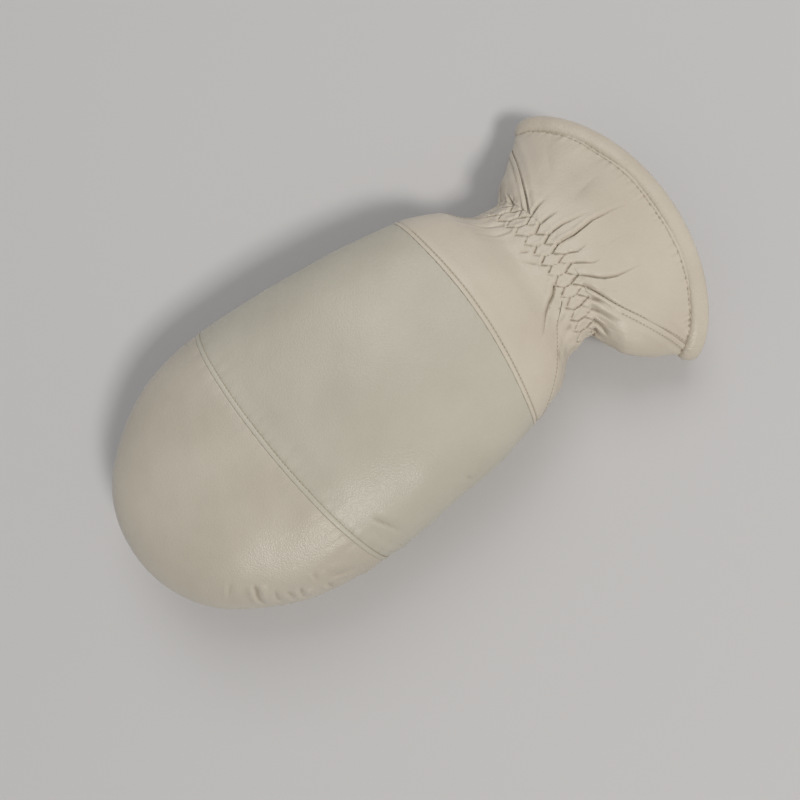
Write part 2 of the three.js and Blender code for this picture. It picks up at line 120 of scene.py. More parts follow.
def spread(template: Array, lengths: Array) -> Array:
    """The places of a template fitted to rows of other lengths, with the spacing at both ends kept.

    Args:
        template: places from 0 to the template's length.
        lengths: each row's length.

    Returns:
        An array of rows by places.
    """
    share = fade(template / template[-1], 0, 1)
    return template[None] + (lengths[:, None] - template[-1]) * share[None]


def resample(dense: Array, places: Array) -> Array:
    """Points at given distances along dense curves.

    Args:
        dense: rows by samples by channels. The first three channels are a point in millimetres.
        places: rows by columns, the distance from each row's start.

    Returns:
        The channels at those places.
    """
    legs = np.linalg.norm(np.diff(dense[..., :3], axis=1), axis=-1)
    run = np.concatenate([np.zeros((len(dense), 1)), np.cumsum(legs, axis=1)], axis=1)
    result = np.empty((*places.shape, dense.shape[-1]))
    for row in range(len(dense)):
        for channel in range(dense.shape[-1]):
            result[row, :, channel] = np.interp(places[row], run[row], dense[row, :, channel])
    return result


def curve_lengths(dense: Array) -> Array:
    """The length of each row of points."""
    return np.linalg.norm(np.diff(dense[..., :3], axis=1), axis=-1).sum(axis=1)


def run_along(line: Array) -> Array:
    """The distance along a line of points, at each of them."""
    return np.concatenate([[0.0], np.cumsum(np.linalg.norm(np.diff(line, axis=0), axis=-1))])


def rows_between(
    surface: Callable[[Array, Array], Array],
    along: Array,
    sides: tuple[Array, Array],
    step: float,
    samples: int,
) -> tuple[Array, Array, Array]:
    """Rows of points on a surface, each from one turn to another.

    Args:
        surface: gives a point from its place along and its turn.
        along: the rows' places.
        sides: the turns at which the rows start and end.
        step: the widest spacing across, in millimetres.
        samples: how many points each row is measured with.

    Returns:
        The points with their turns as a fourth channel, and their distances from the first side and from
        the last.
    """
    first, last = sides
    turns = first[:, None] + (last - first)[:, None] * np.linspace(0, 1, samples)[None]
    dense = np.concatenate([surface(along[:, None], turns), turns[..., None]], axis=-1)
    lengths = curve_lengths(dense)
    places = spread(graded(float(lengths.mean()), step, fine=0.2), lengths)
    return resample(dense, places), places, lengths[:, None] - places


class Table:
    """A table of sizes with one key, read on a smooth curve through its rows."""

    def __init__(self, columns: str, rows: Sequence[Sequence[float]]) -> None:
        """Takes the columns' names, the key first, and the rows."""
        data = np.array(rows, float)
        self.key = data[:, 0]
        self.columns = {name: data[:, i] for i, name in enumerate(columns.split())}

    def __call__(self, column: str, place: Array) -> Array:
        """The column's value at a place between the rows."""
        place = np.asarray(place, float)
        value = self.columns[column]
        last = len(self.key) - 1
        i = np.clip(np.searchsorted(self.key, place, side="left") - 1, 0, last - 1)
        before = np.maximum(np.arange(last + 1) - 1, 0)
        after = np.minimum(np.arange(last + 1) + 1, last)
        slope = (value[after] - value[before]) / (self.key[after] - self.key[before])
        span = self.key[i + 1] - self.key[i]
        t = np.clip((place - self.key[i]) / span, 0, 1)
        rise = value[i + 1] - value[i]
        bend = (1 - t) * (slope[i] * span - rise) + t * (rise - slope[i + 1] * span)
        return value[i] + t * rise + t * (1 - t) * bend


class Hills:
    """Smooth uneven hills through space: a sum of waves in seeded directions. Most heights lie within 1."""

    def __init__(self, seed: int, shortest: float, longest: float, count: int = 18) -> None:
        """Takes the seed, the range of wavelengths in millimetres and the number of waves."""
        random = np.random.default_rng(seed)
        lengths = random.uniform(shortest, longest, count)
        self.waves = unit(random.normal(size=(count, 3))) * (2 * math.pi / lengths)[:, None]
        self.phases = random.uniform(0, 2 * math.pi, count)
        self.scale = 1 / math.sqrt(2 * count)

    def __call__(self, points: Array) -> Array:
        """The height at each point."""
        return np.sin(points @ self.waves.T + self.phases).sum(axis=-1) * self.scale


class Ridges:
    """Uneven gathers side by side along an edge, each with its own width, strength and reach."""

    def __init__(self, seed: int, length: float, pitch: float, jitter: float, closed: bool = False) -> None:
        """Takes the edge's length, the mean pitch and how uneven the widths are, and whether the row closes."""
        random = np.random.default_rng(seed)
        count = max(3, round(length / pitch))
        widths = random.uniform(1 - jitter, 1 + jitter, count)
        widths *= length / widths.sum()
        self.length = length
        self.closed = closed
        self.knots = np.concatenate([[0.0], np.cumsum(widths)])
        self.widths = widths
        self.strength = random.uniform(0.5, 1.15, count)
        self.reach = random.uniform(0.35, 1.0, count) ** 1.4
        self.lean = random.uniform(-1, 1, count)

    def __call__(self, place: Array, away: Array, reach: float, lean: float = 0.0) -> Array:
        """The height of the gathers.

        Args:
            place: the distance along the edge.
            away: the distance from the edge.
            reach: how far the longest gather runs from the edge.
            lean: how far the gathers slant, in millimetres for each millimetre away.

        Returns:
            Heights from 0 in the creases to about 1 on the strongest ridge.
        """
        place = place + lean * away
        place = place % self.length if self.closed else np.clip(place, 0, self.length - 1e-6)
        i = np.clip(np.searchsorted(self.knots, place, side="right") - 1, 0, len(self.widths) - 1)
        share = np.clip((place - self.knots[i]) / self.widths[i], 0, 1)
        crest = np.abs(np.sin(math.pi * share)) ** 0.75
        return self.strength[i] * crest * np.exp(-((away / (reach * self.reach[i])) ** 1.6))


# The mitten's form


@dataclass(frozen=True)
class Form:
    """The leather's outer surface, in millimetres.

    A station counts from the fingertips towards the cuff. A turn goes round the section: 0 is the thumb side's
    widest line, 90 the middle of the back, 180 the far side and 270 underneath.
    """

    centre: tuple[float, float] = (145.6, -2.05)
    tip: float = 88.0
    second_seam: float = 184.0
    hand_end: float = 219.0
    cuff_start: float = 231.0
    hem_side: float = 260.0
    dome_power: float = 2.35
    roll_power: float = 2.6
    plan_power: float = 2.1
    palm_power: float = 2.4
    sweep: float = 1.4
    blend_start: float = 203.0
    skew_at: float = 96.0
    skew_reach: float = 50.0
    skew: float = 0.1
    hand: Table = Table(
        "at half back side seam palm inset",
        [
            (0, 67, 71, 31, 7, -3, 10),
            (40, 67, 71, 32, 5, -3, 10),
            (88, 67, 72, 34.5, 6, -2, 11),
            (100, 66.7, 73.5, 35.5, 9.5, 13, 11.5),
            (112, 66, 74.5, 36, 12, 22, 12),
            (135, 63.5, 75, 38, 15, 26, 13),
            (160, 60.5, 73, 39, 17, 26.5, 14),
            (184, 55.5, 68, 38, 17, 25, 14),
            (200, 50.5, 62.5, 36, 15, 18, 15),
            (211, 45, 57.5, 34, 14, 14, 17),
            (219, 37.5, 52.5, 33, 15, 13.5, 18),
        ],
    )
    side_seam: Table = Table(
        "at thumb far",
        [(88, -90, 270), (145, -90, 270), (172, -45, 238), (190, 2, 192), (205, 34, 172), (219, 62, 151)],
    )
    bow: Table = Table("at back", [(88, -4), (105, -2.5), (140, 1.5), (184, 6), (219, 6.5)])
    cuff: Table = Table(
        "at half top under shift over below",
        [
            (219, 36.8, 52, 14.5, 0, 6.5, 0),
            (231, 36.4, 51, 13, 0, 6.5, 1),
            (236.8, 48, 51, 10.5, -3, 10, 6),
            (245.5, 55.5, 48.5, 5.5, -3.8, 16, 14),
            (254.2, 61.5, 44.5, 1.9, -2.8, 22.5, 22),
            (260, 66, 41.5, 1.3, -2.5, 26, 26),
        ],
    )

    def place(self, at: Array, y: Array, z: Array) -> Array:
        """A point in the part's frame, on or above the surface that the mitten lies on."""
        skew = self.skew * y * np.exp(-(((at - self.skew_at) / self.skew_reach) ** 2))
        flat = np.broadcast_arrays(at - skew - self.centre[0], y - self.centre[1], np.maximum(z, 0))
        return np.stack(flat, axis=-1)

    def dome(self, share: Array) -> Array:
        """The share of its middle's height that the back has at a share of the way out."""
        return np.maximum(0, 1 - share**self.dome_power) ** (1 / self.dome_power)

    def plan_share(self, along: Array, across: Array) -> Array:
        """The share of the way out, seen from above."""
        reach = np.abs(along) ** self.plan_power + np.abs(across) ** self.plan_power
        return reach ** (1 / self.plan_power)

    def roll(self, at: Array, turn: Array) -> tuple[Array, Array]:
        """The roll below the widest line.

        Args:
            at: the station.
            turn: from -90 at the palm's seam to 0 at the widest line.

        Returns:
            How far inwards it lies, and its height.
        """
        angle = np.radians(turn)
        drawn = self.hand("inset", at) * (1 - np.abs(np.cos(angle)) ** (2 / self.roll_power))
        side = self.hand("side", at)
        drop = (side - self.hand("seam", at)) * np.abs(np.sin(angle)) ** (2 / self.roll_power)
        return drawn, side - drop

    def back(self, at: Array, turn: Array) -> Array:
        """A point on the hand behind the first seam.

        Args:
            at: the station.
            turn: from -90 to 270.

        Returns:
            The point in millimetres.
        """
        at, turn = np.broadcast_arrays(np.asarray(at, float), np.asarray(turn, float))
        near = np.where(turn > 90, 180 - turn, turn)
        sign = np.where(turn > 90, 1.0, -1.0)
        out = np.abs(np.cos(np.radians(np.clip(near, 0, 90)))) ** (2 / self.dome_power)
        bowed = at + self.bow("back", at) * (1 - out**2)
        behind = np.maximum(bowed, self.tip)
        height = self.dome(self.plan_share((behind - bowed) / self.tip, out))
        side = self.hand("side", bowed)
        z = side + (self.hand("back", behind) - side) * height
        upper = self.place(bowed, sign * self.hand("half", behind) * out, z)
        drawn, low = self.roll(at, np.clip(near, -90, 0))
        lower = self.place(at, sign * (self.hand("half", at) - drawn), low)
        return np.where((near >= 0)[..., None], upper, lower)

    def gathered(self, at: Array, turn: Array) -> Array:
        """A point on the hand's back, whose section turns into the elastic's towards the wrist."""
        at, turn = np.broadcast_arrays(np.asarray(at, float), np.asarray(turn, float))
        return self.to_elastic(self.back(at, turn), at)

    def around(self, points: Array) -> Array:
        """The turn round the elastic nearest each point."""
        top, under, half = (float(self.cuff(name, self.hand_end)) for name in ("top", "under", "half"))
        up = (points[..., 2] - (top + under) / 2) / ((top - under) / 2)
        aside = (points[..., 1] + self.centre[1]) / half
        return np.degrees(np.arctan2(up, -aside))

    def to_elastic(self, points: Array, at: Array) -> Array:
        """Points of the hand, drawn towards the elastic's section as their station nears it."""
        share = fade(at, self.blend_start, self.hand_end)[..., None]
        along = (at - self.hand_end) / (self.cuff_start - self.hand_end)
        return (1 - share) * points + share * self.band(along, self.around(points))

    def palm(self, at: Array, share: Array) -> Array:
        """A point under the hand, at a share from -1 at the thumb side's palm seam to 1 at the far side's."""
        middle = self.hand("palm", at)
        z = middle + (self.hand("seam", at) - middle) * np.abs(share) ** self.palm_power
        return self.place(at, share * (self.hand("half", at) - self.hand("inset", at)), z)

    def fan(self, bearing: Array) -> tuple[Array, Array]:
        """The shares forwards and aside at a bearing: -90 is the thumb side, 0 the tip and 90 the far side."""
        angle = np.radians(bearing)
        return power(np.cos(angle), 2 / self.plan_power), power(np.sin(angle), 2 / self.plan_power)

    def tip_roll(self, bearing: Array, turn: Array) -> Array:
        """A point below the widest line round the fingertips, at a turn from -90 to 0."""
        forth, aside = self.fan(bearing)
        at = self.tip * (1 - forth)
        drawn, z = self.roll(at, turn)
        half = self.hand("half", self.tip)
        return self.place(self.tip - (self.tip - drawn) * forth, (half - drawn) * aside, z)

    def tip_forward(self, bearing: Array, climb: Array) -> Array:
        """How far forwards of the first seam the fingertips reach, in millimetres, as tip_wall counts."""
        forth, aside = self.fan(bearing)
        above = np.radians(np.clip(climb, 0, 90))
        drawn, _ = self.roll(self.tip * (1 - forth), np.minimum(climb, 0))
        lower = (self.tip - drawn) * forth
        upper = (self.tip * forth - self.first_seam(aside)) * np.cos(above) ** (2 / self.dome_power)
        return np.where(climb > 0, upper, lower)

    def tip_wall(self, bearing: Array, climb: Array) -> Array:
        """A point on the fingertips.

        Args:
            bearing: -90 is the thumb side, 0 the tip and 90 the far side.
            climb: -90 is the palm's seam, 0 the widest line and 90 the first seam.

        Returns:
            The point in millimetres.
        """
        bearing, climb = np.broadcast_arrays(np.asarray(bearing, float), np.asarray(climb, float))
        _, aside = self.fan(bearing)
        forward = self.tip_forward(bearing, climb) + self.first_seam(aside)
        side = self.hand("side", self.tip - forward)
        height = self.dome(np.minimum(1, self.plan_share(forward / self.tip, aside)))
        z = side + (self.hand("back", self.tip) - side) * height
        upper = self.place(self.tip - forward, self.hand("half", self.tip) * aside, z)
        return np.where((climb > 0)[..., None], upper, self.tip_roll(bearing, np.minimum(climb, 0)))

    def tip_palm(self, bearing: Array, share: Array) -> Array:
        """A point under the fingertips, at a share from 0 in the fan's middle to 1 at the palm's seam."""
        forth, aside = self.fan(bearing)
        at = self.tip * (1 - forth)
        inset = self.hand("inset", at)
        middle = self.hand("palm", self.tip)
        z = middle + (self.hand("seam", at) - middle) * share**self.palm_power
        across = (self.hand("half", self.tip) - inset) * share * aside
        return self.place(self.tip - (self.tip - inset) * share * forth, across, z)

    def first_seam(self, across: Array) -> Array:
        """How far forwards of the tip station the first seam lies, at a share across."""
        return -self.bow("back", self.tip) * (1 - np.minimum(1, np.abs(across)) ** 2)

    def wrist_size(self, name: str, at: Array) -> Array:
        """One of the elastic's and the cuff's sizes at a station, run on straight into the hand."""
        slope = self.cuff(name, self.hand_end + 1) - self.cuff(name, self.hand_end)
        return self.cuff(name, at) + slope * np.minimum(at - self.hand_end, 0)

    def band(self, along: Array, turn: Array, depth: float = 0.0) -> Array:
        """A point on the elastic or on the cuff.

        Args:
            along: 0 to 1 on the elastic, 1 to 2 on the cuff.
            turn: the turn round the section.
            depth: how far under the surface it lies, in millimetres.

        Returns:
            The point in millimetres.
        """
        along, turn = np.broadcast_arrays(np.asarray(along, float), np.asarray(turn, float))
        angle = np.radians(turn)
        elastic = self.hand_end + along * (self.cuff_start - self.hand_end)
        flare = self.cuff_start + (along - 1) * (self.hem_side - self.cuff_start)
        at = np.where(along > 1, flare, elastic)
        top, under = self.wrist_size("top", at), self.wrist_size("under", at)
        reach = np.where(np.sin(angle) > 0, self.cuff("over", at), self.cuff("below", at))
        y = self.cuff("shift", at) - (self.wrist_size("half", at) - depth) * np.cos(angle)
        z = (top + under) / 2 + ((top - under) / 2 - depth) * np.sin(angle)
        return self.place(at + reach * np.abs(np.sin(angle)) ** self.sweep, y, np.maximum(z, depth))


FORM = Form()


# Finishes


def set_inputs(node: Node, values: dict[str, object]) -> None:
    """Sets inputs that nothing is linked to, by name."""
    for name, value in values.items():
        node.inputs[name].default_value = value


class Nodes:
    """A material's or a node group's nodes, added and linked by short calls."""

    def __init__(self, tree: bpy.types.NodeTree) -> None:
        """Takes the tree to build in."""
        self.tree = tree

    def add(self, kind: str, **values: object) -> Node:
        """A new node, with properties set by name."""
        node = self.tree.nodes.new(kind)
        for name, value in values.items():
            setattr(node, name, value)
        return node

    def link(self, source: Socket, target: Socket) -> None:
        """A link from an output to an input."""
        self.tree.links.new(source, target)

    def noise(self, coordinates: Socket, scale: float, detail: float = 3.0) -> Socket:
        """A noise's value, about 0.5 in the mean."""
        node = self.add("ShaderNodeTexNoise")
        set_inputs(node, {"Scale": scale, "Detail": detail, "Roughness": 0.55})
        self.link(coordinates, node.inputs["Vector"])
        return node.outputs["Fac"]

    def ranged(self, value: Socket, source: tuple, target: tuple) -> Socket:
        """A value carried from one range to another, held inside it."""
        node = self.add("ShaderNodeMapRange")
        set_inputs(node, dict(zip(("From Min", "From Max", "To Min", "To Max"), (*source, *target))))
        self.link(value, node.inputs["Value"])
        return node.outputs["Result"]

    def mixed(self, share: Socket, first: object, second: object) -> Socket:
        """A mix of two colours, each a socket or a colour, by a share."""
        node = self.add("ShaderNodeMix", data_type="RGBA")
        self.link(share, node.inputs["Factor"])
        for name, value in (("A", first), ("B", second)):
            socket = next(s for s in node.inputs if s.name == name and s.type == "RGBA")
            if isinstance(value, Socket):
                self.link(value, socket)
            else:
                socket.default_value = (*value, 1.0)
        return next(s for s in node.outputs if s.type == "RGBA")

    def maths(self, operation: str, *values: object) -> Socket:
        """One sum, product or the like of values, each a socket or a number."""
        node = self.add("ShaderNodeMath", operation=operation)
        for socket, value in zip(node.inputs, values):
            if isinstance(value, Socket):
                self.link(value, socket)
            else:
                socket.default_value = value
        return node.outputs[0]

    def relief(self, height: Socket, shader: Node, strength: float, distance: float) -> None:
        """A bump that feeds a shader's normal.

        Args:
            height: the height, where 1 is the whole distance.
            shader: the shader that shows it.
            strength: how much of it shows.
            distance: the distance in metres.
        """
        node = self.add("ShaderNodeBump")
        set_inputs(node, {"Strength": strength, "Distance": distance})
        self.link(height, node.inputs["Height"])
        self.link(node.outputs["Normal"], shader.inputs["Normal"])


def new_material(name: str) -> tuple[Material, Nodes, Node]:
    """A new material, its nodes and its shader."""
    material = bpy.data.materials.new(name)
    material.use_nodes = True
    return material, Nodes(material.node_tree), material.node_tree.nodes["Principled BSDF"]


def grain_group() -> bpy.types.NodeTree:
    """The leather's grain: a group that gives a height for its fine pebbles and pores, and a mottle."""
    tree = bpy.data.node_groups.new("HideGrain", "ShaderNodeTree")
    for name, default in (("Pebble Scale", 1300.0), ("Mottle Scale", 28.0)):
        socket = tree.interface.new_socket(name=name, in_out="INPUT", socket_type="NodeSocketFloat")
        socket.default_value = default
    for name in ("Height", "Mottle"):
        tree.interface.new_socket(name=name, in_out="OUTPUT", socket_type="NodeSocketFloat")
    nodes = Nodes(tree)
    inside = nodes.add("NodeGroupInput")
    outside = nodes.add("NodeGroupOutput")
    space = nodes.add("ShaderNodeTexCoord").outputs["Object"]
    warp = nodes.add("ShaderNodeTexNoise")
    warp.inputs["Scale"].default_value = 240.0
    nodes.link(space, warp.inputs["Vector"])
    stretch = nodes.add("ShaderNodeVectorMath", operation="MULTIPLY_ADD")
    nodes.link(warp.outputs["Color"], stretch.inputs[0])
    stretch.inputs[1].default_value = (0.0012, 0.0012, 0.0012)
    nodes.link(space, stretch.inputs[2])
    pebble = nodes.add("ShaderNodeTexVoronoi", feature="F1")
    nodes.link(stretch.outputs[0], pebble.inputs["Vector"])
    nodes.link(inside.outputs["Pebble Scale"], pebble.inputs["Scale"])
    pores = nodes.noise(space, 2600.0, 2.0)
    folds = nodes.noise(space, 420.0, 4.0)
    rounded = nodes.ranged(pebble.outputs["Distance"], (0.0, 0.75), (1.0, 0.0))
    height = nodes.maths("MULTIPLY_ADD", pores, 0.35, rounded)
    nodes.link(nodes.maths("MULTIPLY_ADD", folds, 0.9, height), outside.inputs["Height"])
    mottle = nodes.add("ShaderNodeTexNoise")
    mottle.inputs["Detail"].default_value = 5.0
    nodes.link(space, mottle.inputs["Vector"])
    nodes.link(inside.outputs["Mottle Scale"], mottle.inputs["Scale"])
    nodes.link(mottle.outputs["Fac"], outside.inputs["Mottle"])
    return tree


@dataclass(frozen=True)
class LeatherFinish:
    """Soft glove leather: fine grain, uneven tone, painted shade in creases, painted highlight and wear on
    ridges.
    """

    name: str
    light: tuple[float, float, float] = (0.625, 0.556, 0.455)
    deep: tuple[float, float, float] = (0.580, 0.508, 0.408)
    # Painted crease shade: the dark colour mixed in where a point lies deep in a crease.
    creased: tuple[float, float, float] = (0.290, 0.240, 0.170)
    roughness: float = 0.31
    grain: float = 0.22
    pebble_scale: float = 1300.0

    def build(self, grain: bpy.types.NodeTree) -> Material:
        """Builds the material.

        Args:
            grain: the shared group of the leather's grain.

        Returns:
            The material.
        """
        material, nodes, shader = new_material(self.name)
        pattern = nodes.add("ShaderNodeGroup", node_tree=grain)
        pattern.inputs["Pebble Scale"].default_value = self.pebble_scale
        tone = nodes.ranged(pattern.outputs["Mottle"], (0.35, 0.68), (0.0, 1.0))
        colour = nodes.mixed(tone, self.light, self.deep)
        # Painted shade: the leather is darkened in its creases by how deep each point lies in one.
        crease = nodes.add("ShaderNodeAttribute", attribute_name="crease").outputs["Fac"]
        shade = nodes.ranged(crease, (0.08, 1.0), (0.0, 0.7))
        colour = nodes.mixed(shade, colour, self.creased)
        # Painted highlight mixed with wear: ridges are lightened towards a brighter copy of the leather's
        # colour.
        ridge_wear_and_highlight = nodes.ranged(crease, (-0.6, -0.05), (0.35, 0.0))
        colour = nodes.mixed(ridge_wear_and_highlight, colour, tuple(min(1, c * 1.12) for c in self.light))
        nodes.link(colour, shader.inputs["Base Color"])
        span = (self.roughness + 0.09, self.roughness - 0.04)
        gloss = nodes.ranged(pattern.outputs["Height"], (0.4, 1.6), span)
        nodes.link(nodes.maths("MULTIPLY_ADD", shade, 0.2, gloss), shader.inputs["Roughness"])
        nodes.relief(pattern.outputs["Height"], shader, self.grain, 0.0004)
        set_inputs(shader, {"Sheen Weight": 0.08, "Sheen Roughness": 0.5, "Specular IOR Level": 0.42})
        return material


@dataclass(frozen=True)
class ThreadFinish:
    """Sewing thread, painted a shade darker than the leather as painted shade of its stitch holes, with painted
    shadow in its twist.
    """

    name: str = "cream_thread"
    # Painted shade: the cream thread is darkened to stand for the shade in its stitch holes.
    colour: tuple[float, float, float] = (0.50, 0.44, 0.33)
    shadow: tuple[float, float, float] = (0.34, 0.29, 0.20)

    def build(self) -> Material:
        """The material."""
        material, nodes, shader = new_material(self.name)
        space = nodes.add("ShaderNodeTexCoord").outputs["Object"]
        twist = nodes.noise(space, 2200.0, 2.0)
        # Painted shadow between the twist's strands, mixed in by the twist's noise.
        colour = nodes.mixed(nodes.ranged(twist, (0.35, 0.65), (0.0, 1.0)), self.shadow, self.colour)
        nodes.link(colour, shader.inputs["Base Color"])
        nodes.relief(twist, shader, 0.5, 0.0002)
        set_inputs(shader, {"Roughness": 0.6})
        return material


@dataclass(frozen=True)
class FurFinish:
    """Curly sheepskin wool, dark grey, paler at the tips of its locks."""

    name: str = "dark_wool"
    root: tuple[float, float, float] = (0.060, 0.056, 0.053)
    tip: tuple[float, float, float] = (0.250, 0.240, 0.228)

    def build(self) -> Material:
        """The material."""
        material, nodes, shader = new_material(self.name)
        space = nodes.add("ShaderNodeTexCoord").outputs["Object"]
        out = nodes.add("ShaderNodeAttribute", attribute_name="lock").outputs["Fac"]
        tone = nodes.maths("ADD", out, nodes.ranged(nodes.noise(space, 170.0), (0.3, 0.7), (-0.25, 0.25)))
        colour = nodes.mixed(nodes.ranged(tone, (0.0, 1.0), (0.0, 1.0)), self.root, self.tip)
        nodes.link(colour, shader.inputs["Base Color"])
        fine = nodes.noise(space, 2400.0, 3.0)
        height = nodes.maths("MULTIPLY_ADD", fine, 0.3, nodes.noise(space, 520.0, 4.0))
        nodes.relief(height, shader, 0.8, 0.0016)
        set_inputs(shader, {"Roughness": 0.85, "Sheen Weight": 0.4, "Sheen Roughness": 0.4})
        return material


@dataclass(frozen=True)
class FloorFinish:
    """A plain pale painted surface."""

    name: str = "pale_floor"
    colour: tuple[float, float, float] = (0.60, 0.585, 0.575)

    def build(self) -> Material:
        """The material."""
        material, nodes, shader = new_material(self.name)
        space = nodes.add("ShaderNodeTexCoord").outputs["Object"]
        tone = nodes.noise(space, 3.0, 2.0)
        darker = tuple(c * 0.97 for c in self.colour)
        nodes.link(nodes.mixed(tone, self.colour, darker), shader.inputs["Base Color"])
        set_inputs(shader, {"Roughness": 0.75, "Specular IOR Level": 0.2})
        return material


@dataclass
class Finishes:
    """All the materials, built once."""

    leather: Material
    piping: Material
    middle: Material
    tip: Material
    thread: Material
    fur: Material
    floor: Material

    @classmethod
    def build(cls) -> "Finishes":
        """Builds the shared group and every finish."""
        grain = grain_group()
        hides = {
            "leather": LeatherFinish("cream_nappa"),
            "middle": LeatherFinish("cream_nappa_middle", (0.543, 0.508, 0.415), (0.498, 0.464, 0.375)),
            # The fingertip leather is darker partly for its own tone and partly as painted shade over the
            # fingertips.
            "tip": LeatherFinish("cream_nappa_tip", (0.555, 0.500, 0.410), (0.505, 0.450, 0.362)),
            "piping": LeatherFinish("cream_nappa_binding", grain=0.3, pebble_scale=1000.0),
        }
        built = {name: hide.build(grain) for name, hide in hides.items()}
        return cls(**built, thread=ThreadFinish().build(), fur=FurFinish().build(), floor=FloorFinish().build())


# Meshes


def deselect() -> None:
    """Leaves nothing selected."""
    for item in bpy.context.selected_objects:
        item.select_set(False)


def pick(piece: Piece) -> None:
    """Makes one object the selected and active one."""
    deselect()
    piece.select_set(True)
    bpy.context.view_layer.objects.active = piece


def apply_modifier(piece: Piece, kind: str, **settings: object) -> None:
    """Adds a modifier, sets it and applies it."""
    pick(piece)
    bpy.ops.object.modifier_add(type=kind)
    modifier = piece.modifiers[-1]
    for name, value in settings.items():
        setattr(modifier, name, value)
    bpy.ops.object.modifier_apply(modifier=modifier.name)


def read_points(piece: Piece, what: str = "co") -> Array:
    """The mesh's points, or their normals, as an array."""
    values = np.empty(len(piece.data.vertices) * 3, np.float32)
    piece.data.vertices.foreach_get(what, values)
    return values.reshape(-1, 3).astype(float)


def write_points(piece: Piece, points: Array) -> None:
    """Moves the mesh's points to an array's places."""
    piece.data.vertices.foreach_set("co", points.astype(np.float32).ravel())
    piece.data.update()


def read_values(piece: Piece, name: str) -> Array:
    """A point attribute's values."""
    values = np.empty(len(piece.data.vertices), np.float32)
    piece.data.attributes[name].data.foreach_get("value", values)
    return values.astype(float)


def write_values(piece: Piece, name: str, values: Array) -> None:
    """Sets a point attribute, made if it is new."""
    attribute = piece.data.attributes.get(name) or piece.data.attributes.new(name, "FLOAT", "POINT")
    attribute.data.foreach_set("value", values.astype(np.float32).ravel())


def cloth_grid(points: Array, lift: Array) -> Piece:
    """A patch of leather: a grid whose points are moved to a surface, with the height of its detail kept.

    Args:
        points: rows by columns of points in millimetres.
        lift: rows by columns of heights in millimetres, along the surface's normal.

    Returns:
        The new object.
    """
    rows, columns = points.shape[:2]
    deselect()
    bpy.ops.mesh.primitive_grid_add(x_subdivisions=rows - 1, y_subdivisions=columns - 1, size=2)
    piece = bpy.context.object
    flat = read_points(piece)
    i = np.rint((flat[:, 0] + 1) / 2 * (rows - 1)).astype(int)
    j = np.rint((flat[:, 1] + 1) / 2 * (columns - 1)).astype(int)
    write_points(piece, points[i, j] * MM)
    write_values(piece, "lift", lift[i, j])
    return piece


def ball(sides: int, rings: int) -> tuple[Array, list[list[int]]]:
    """A ball of radius 1, to be copied.

    Args:
        sides: how many faces go round it.
        rings: how many lie from pole to pole.

    Returns:
        Its points and its faces.
    """
    deselect()
    bpy.ops.mesh.primitive_uv_sphere_add(segments=sides, ring_count=rings, radius=1.0)
    made = bpy.context.object
    points = read_points(made)
    faces = [list(face.vertices) for face in made.data.polygons]
    bpy.data.objects.remove(made)
    return points, faces


def repeated(name: str, points: Array, faces: Sequence[Sequence[int]]) -> Piece:
    """One mesh of many copies of a small shape.

    Args:
        name: the piece's name.
        points: copies by the shape's points by three, in millimetres.
        faces: the faces of one copy.

    Returns:
        The piece.
    """
    count, step = points.shape[:2]
    every = [[v + i * step for v in face] for i in range(count) for face in faces]
    mesh = bpy.data.meshes.new(name)
    mesh.from_pydata((points.reshape(-1, 3) * MM).tolist(), [], every)
    piece = bpy.data.objects.new(name, mesh)
    bpy.context.scene.collection.objects.link(piece)
    return piece


def joined(patches: Sequence[Piece], name: str) -> Piece:
    """Patches joined into one mesh whose meeting points are merged.

    Args:
        patches: the grids. The first takes in the others.
        name: the piece's name.

    Returns:
        The piece.
    """
    deselect()
    for patch in patches:
        patch.select_set(True)
    bpy.context.view_layer.objects.active = patches[0]
    if len(patches) > 1:
        bpy.ops.object.join()
    piece = bpy.context.object
    piece.name = name
    piece.data.name = name
    pick(piece)
    bpy.ops.object.mode_set(mode="EDIT")
    bpy.ops.mesh.select_all(action="SELECT")
    bpy.ops.mesh.remove_doubles(threshold=SAME_PLACE * MM)
    bpy.ops.mesh.normals_make_consistent(inside=False)
    bpy.ops.object.mode_set(mode="OBJECT")
    return piece


def outward(piece: Piece, centre: tuple[float, float, float]) -> None:
    """Turns the faces of an open shell away from a point inside it, in millimetres."""
    away = ((read_points(piece) - np.array(centre) * MM) * read_points(piece, "normal")).sum(axis=1)
    if away.mean() < 0:
        piece.data.flip_normals()


def raise_detail(piece: Piece) -> None:
    """Moves each point along its normal by the height that was kept with it, and no lower than the floor."""
    points = read_points(piece)
    points += read_points(piece, "normal") * read_values(piece, "lift")[:, None] * MM
    points[:, 2] = np.maximum(points[:, 2], 0)
    write_points(piece, points)


def soften(values: Array, edges: Array, rounds: int) -> Array:
    """Values at the points, drawn towards their neighbours'.

    Args:
        values: one for each point.
        edges: the pairs of points that are neighbours.
        rounds: how often they are drawn.

    Returns:
        The softened values.
    """
    first, second = edges.T
    count = np.maximum(np.bincount(edges.ravel(), minlength=len(values)), 1)
    for _ in range(rounds):
        total = np.bincount(first, values[second], len(values))
        total += np.bincount(second, values[first], len(values))
        values = 0.5 * values + 0.5 * total / count
    return values


def mark_creases(piece: Piece, rounds: int = 14, depth: float = 0.4) -> None:
    """Keeps how deep each point lies in a crease, from -1 on a ridge to 1, for the leather's painted shade and
    highlight.

    Args:
        piece: a piece with the height of its detail kept.
        rounds: how wide a neighbourhood counts.
        depth: the depth in millimetres that counts as whole.
    """
    edges = np.empty(len(piece.data.edges) * 2, np.int32)
    piece.data.edges.foreach_get("vertices", edges)
    lift = read_values(piece, "lift")
    sunk = (soften(lift, edges.reshape(-1, 2), rounds) - lift) / depth
    write_values(piece, "crease", np.clip(sunk, -1, 1))


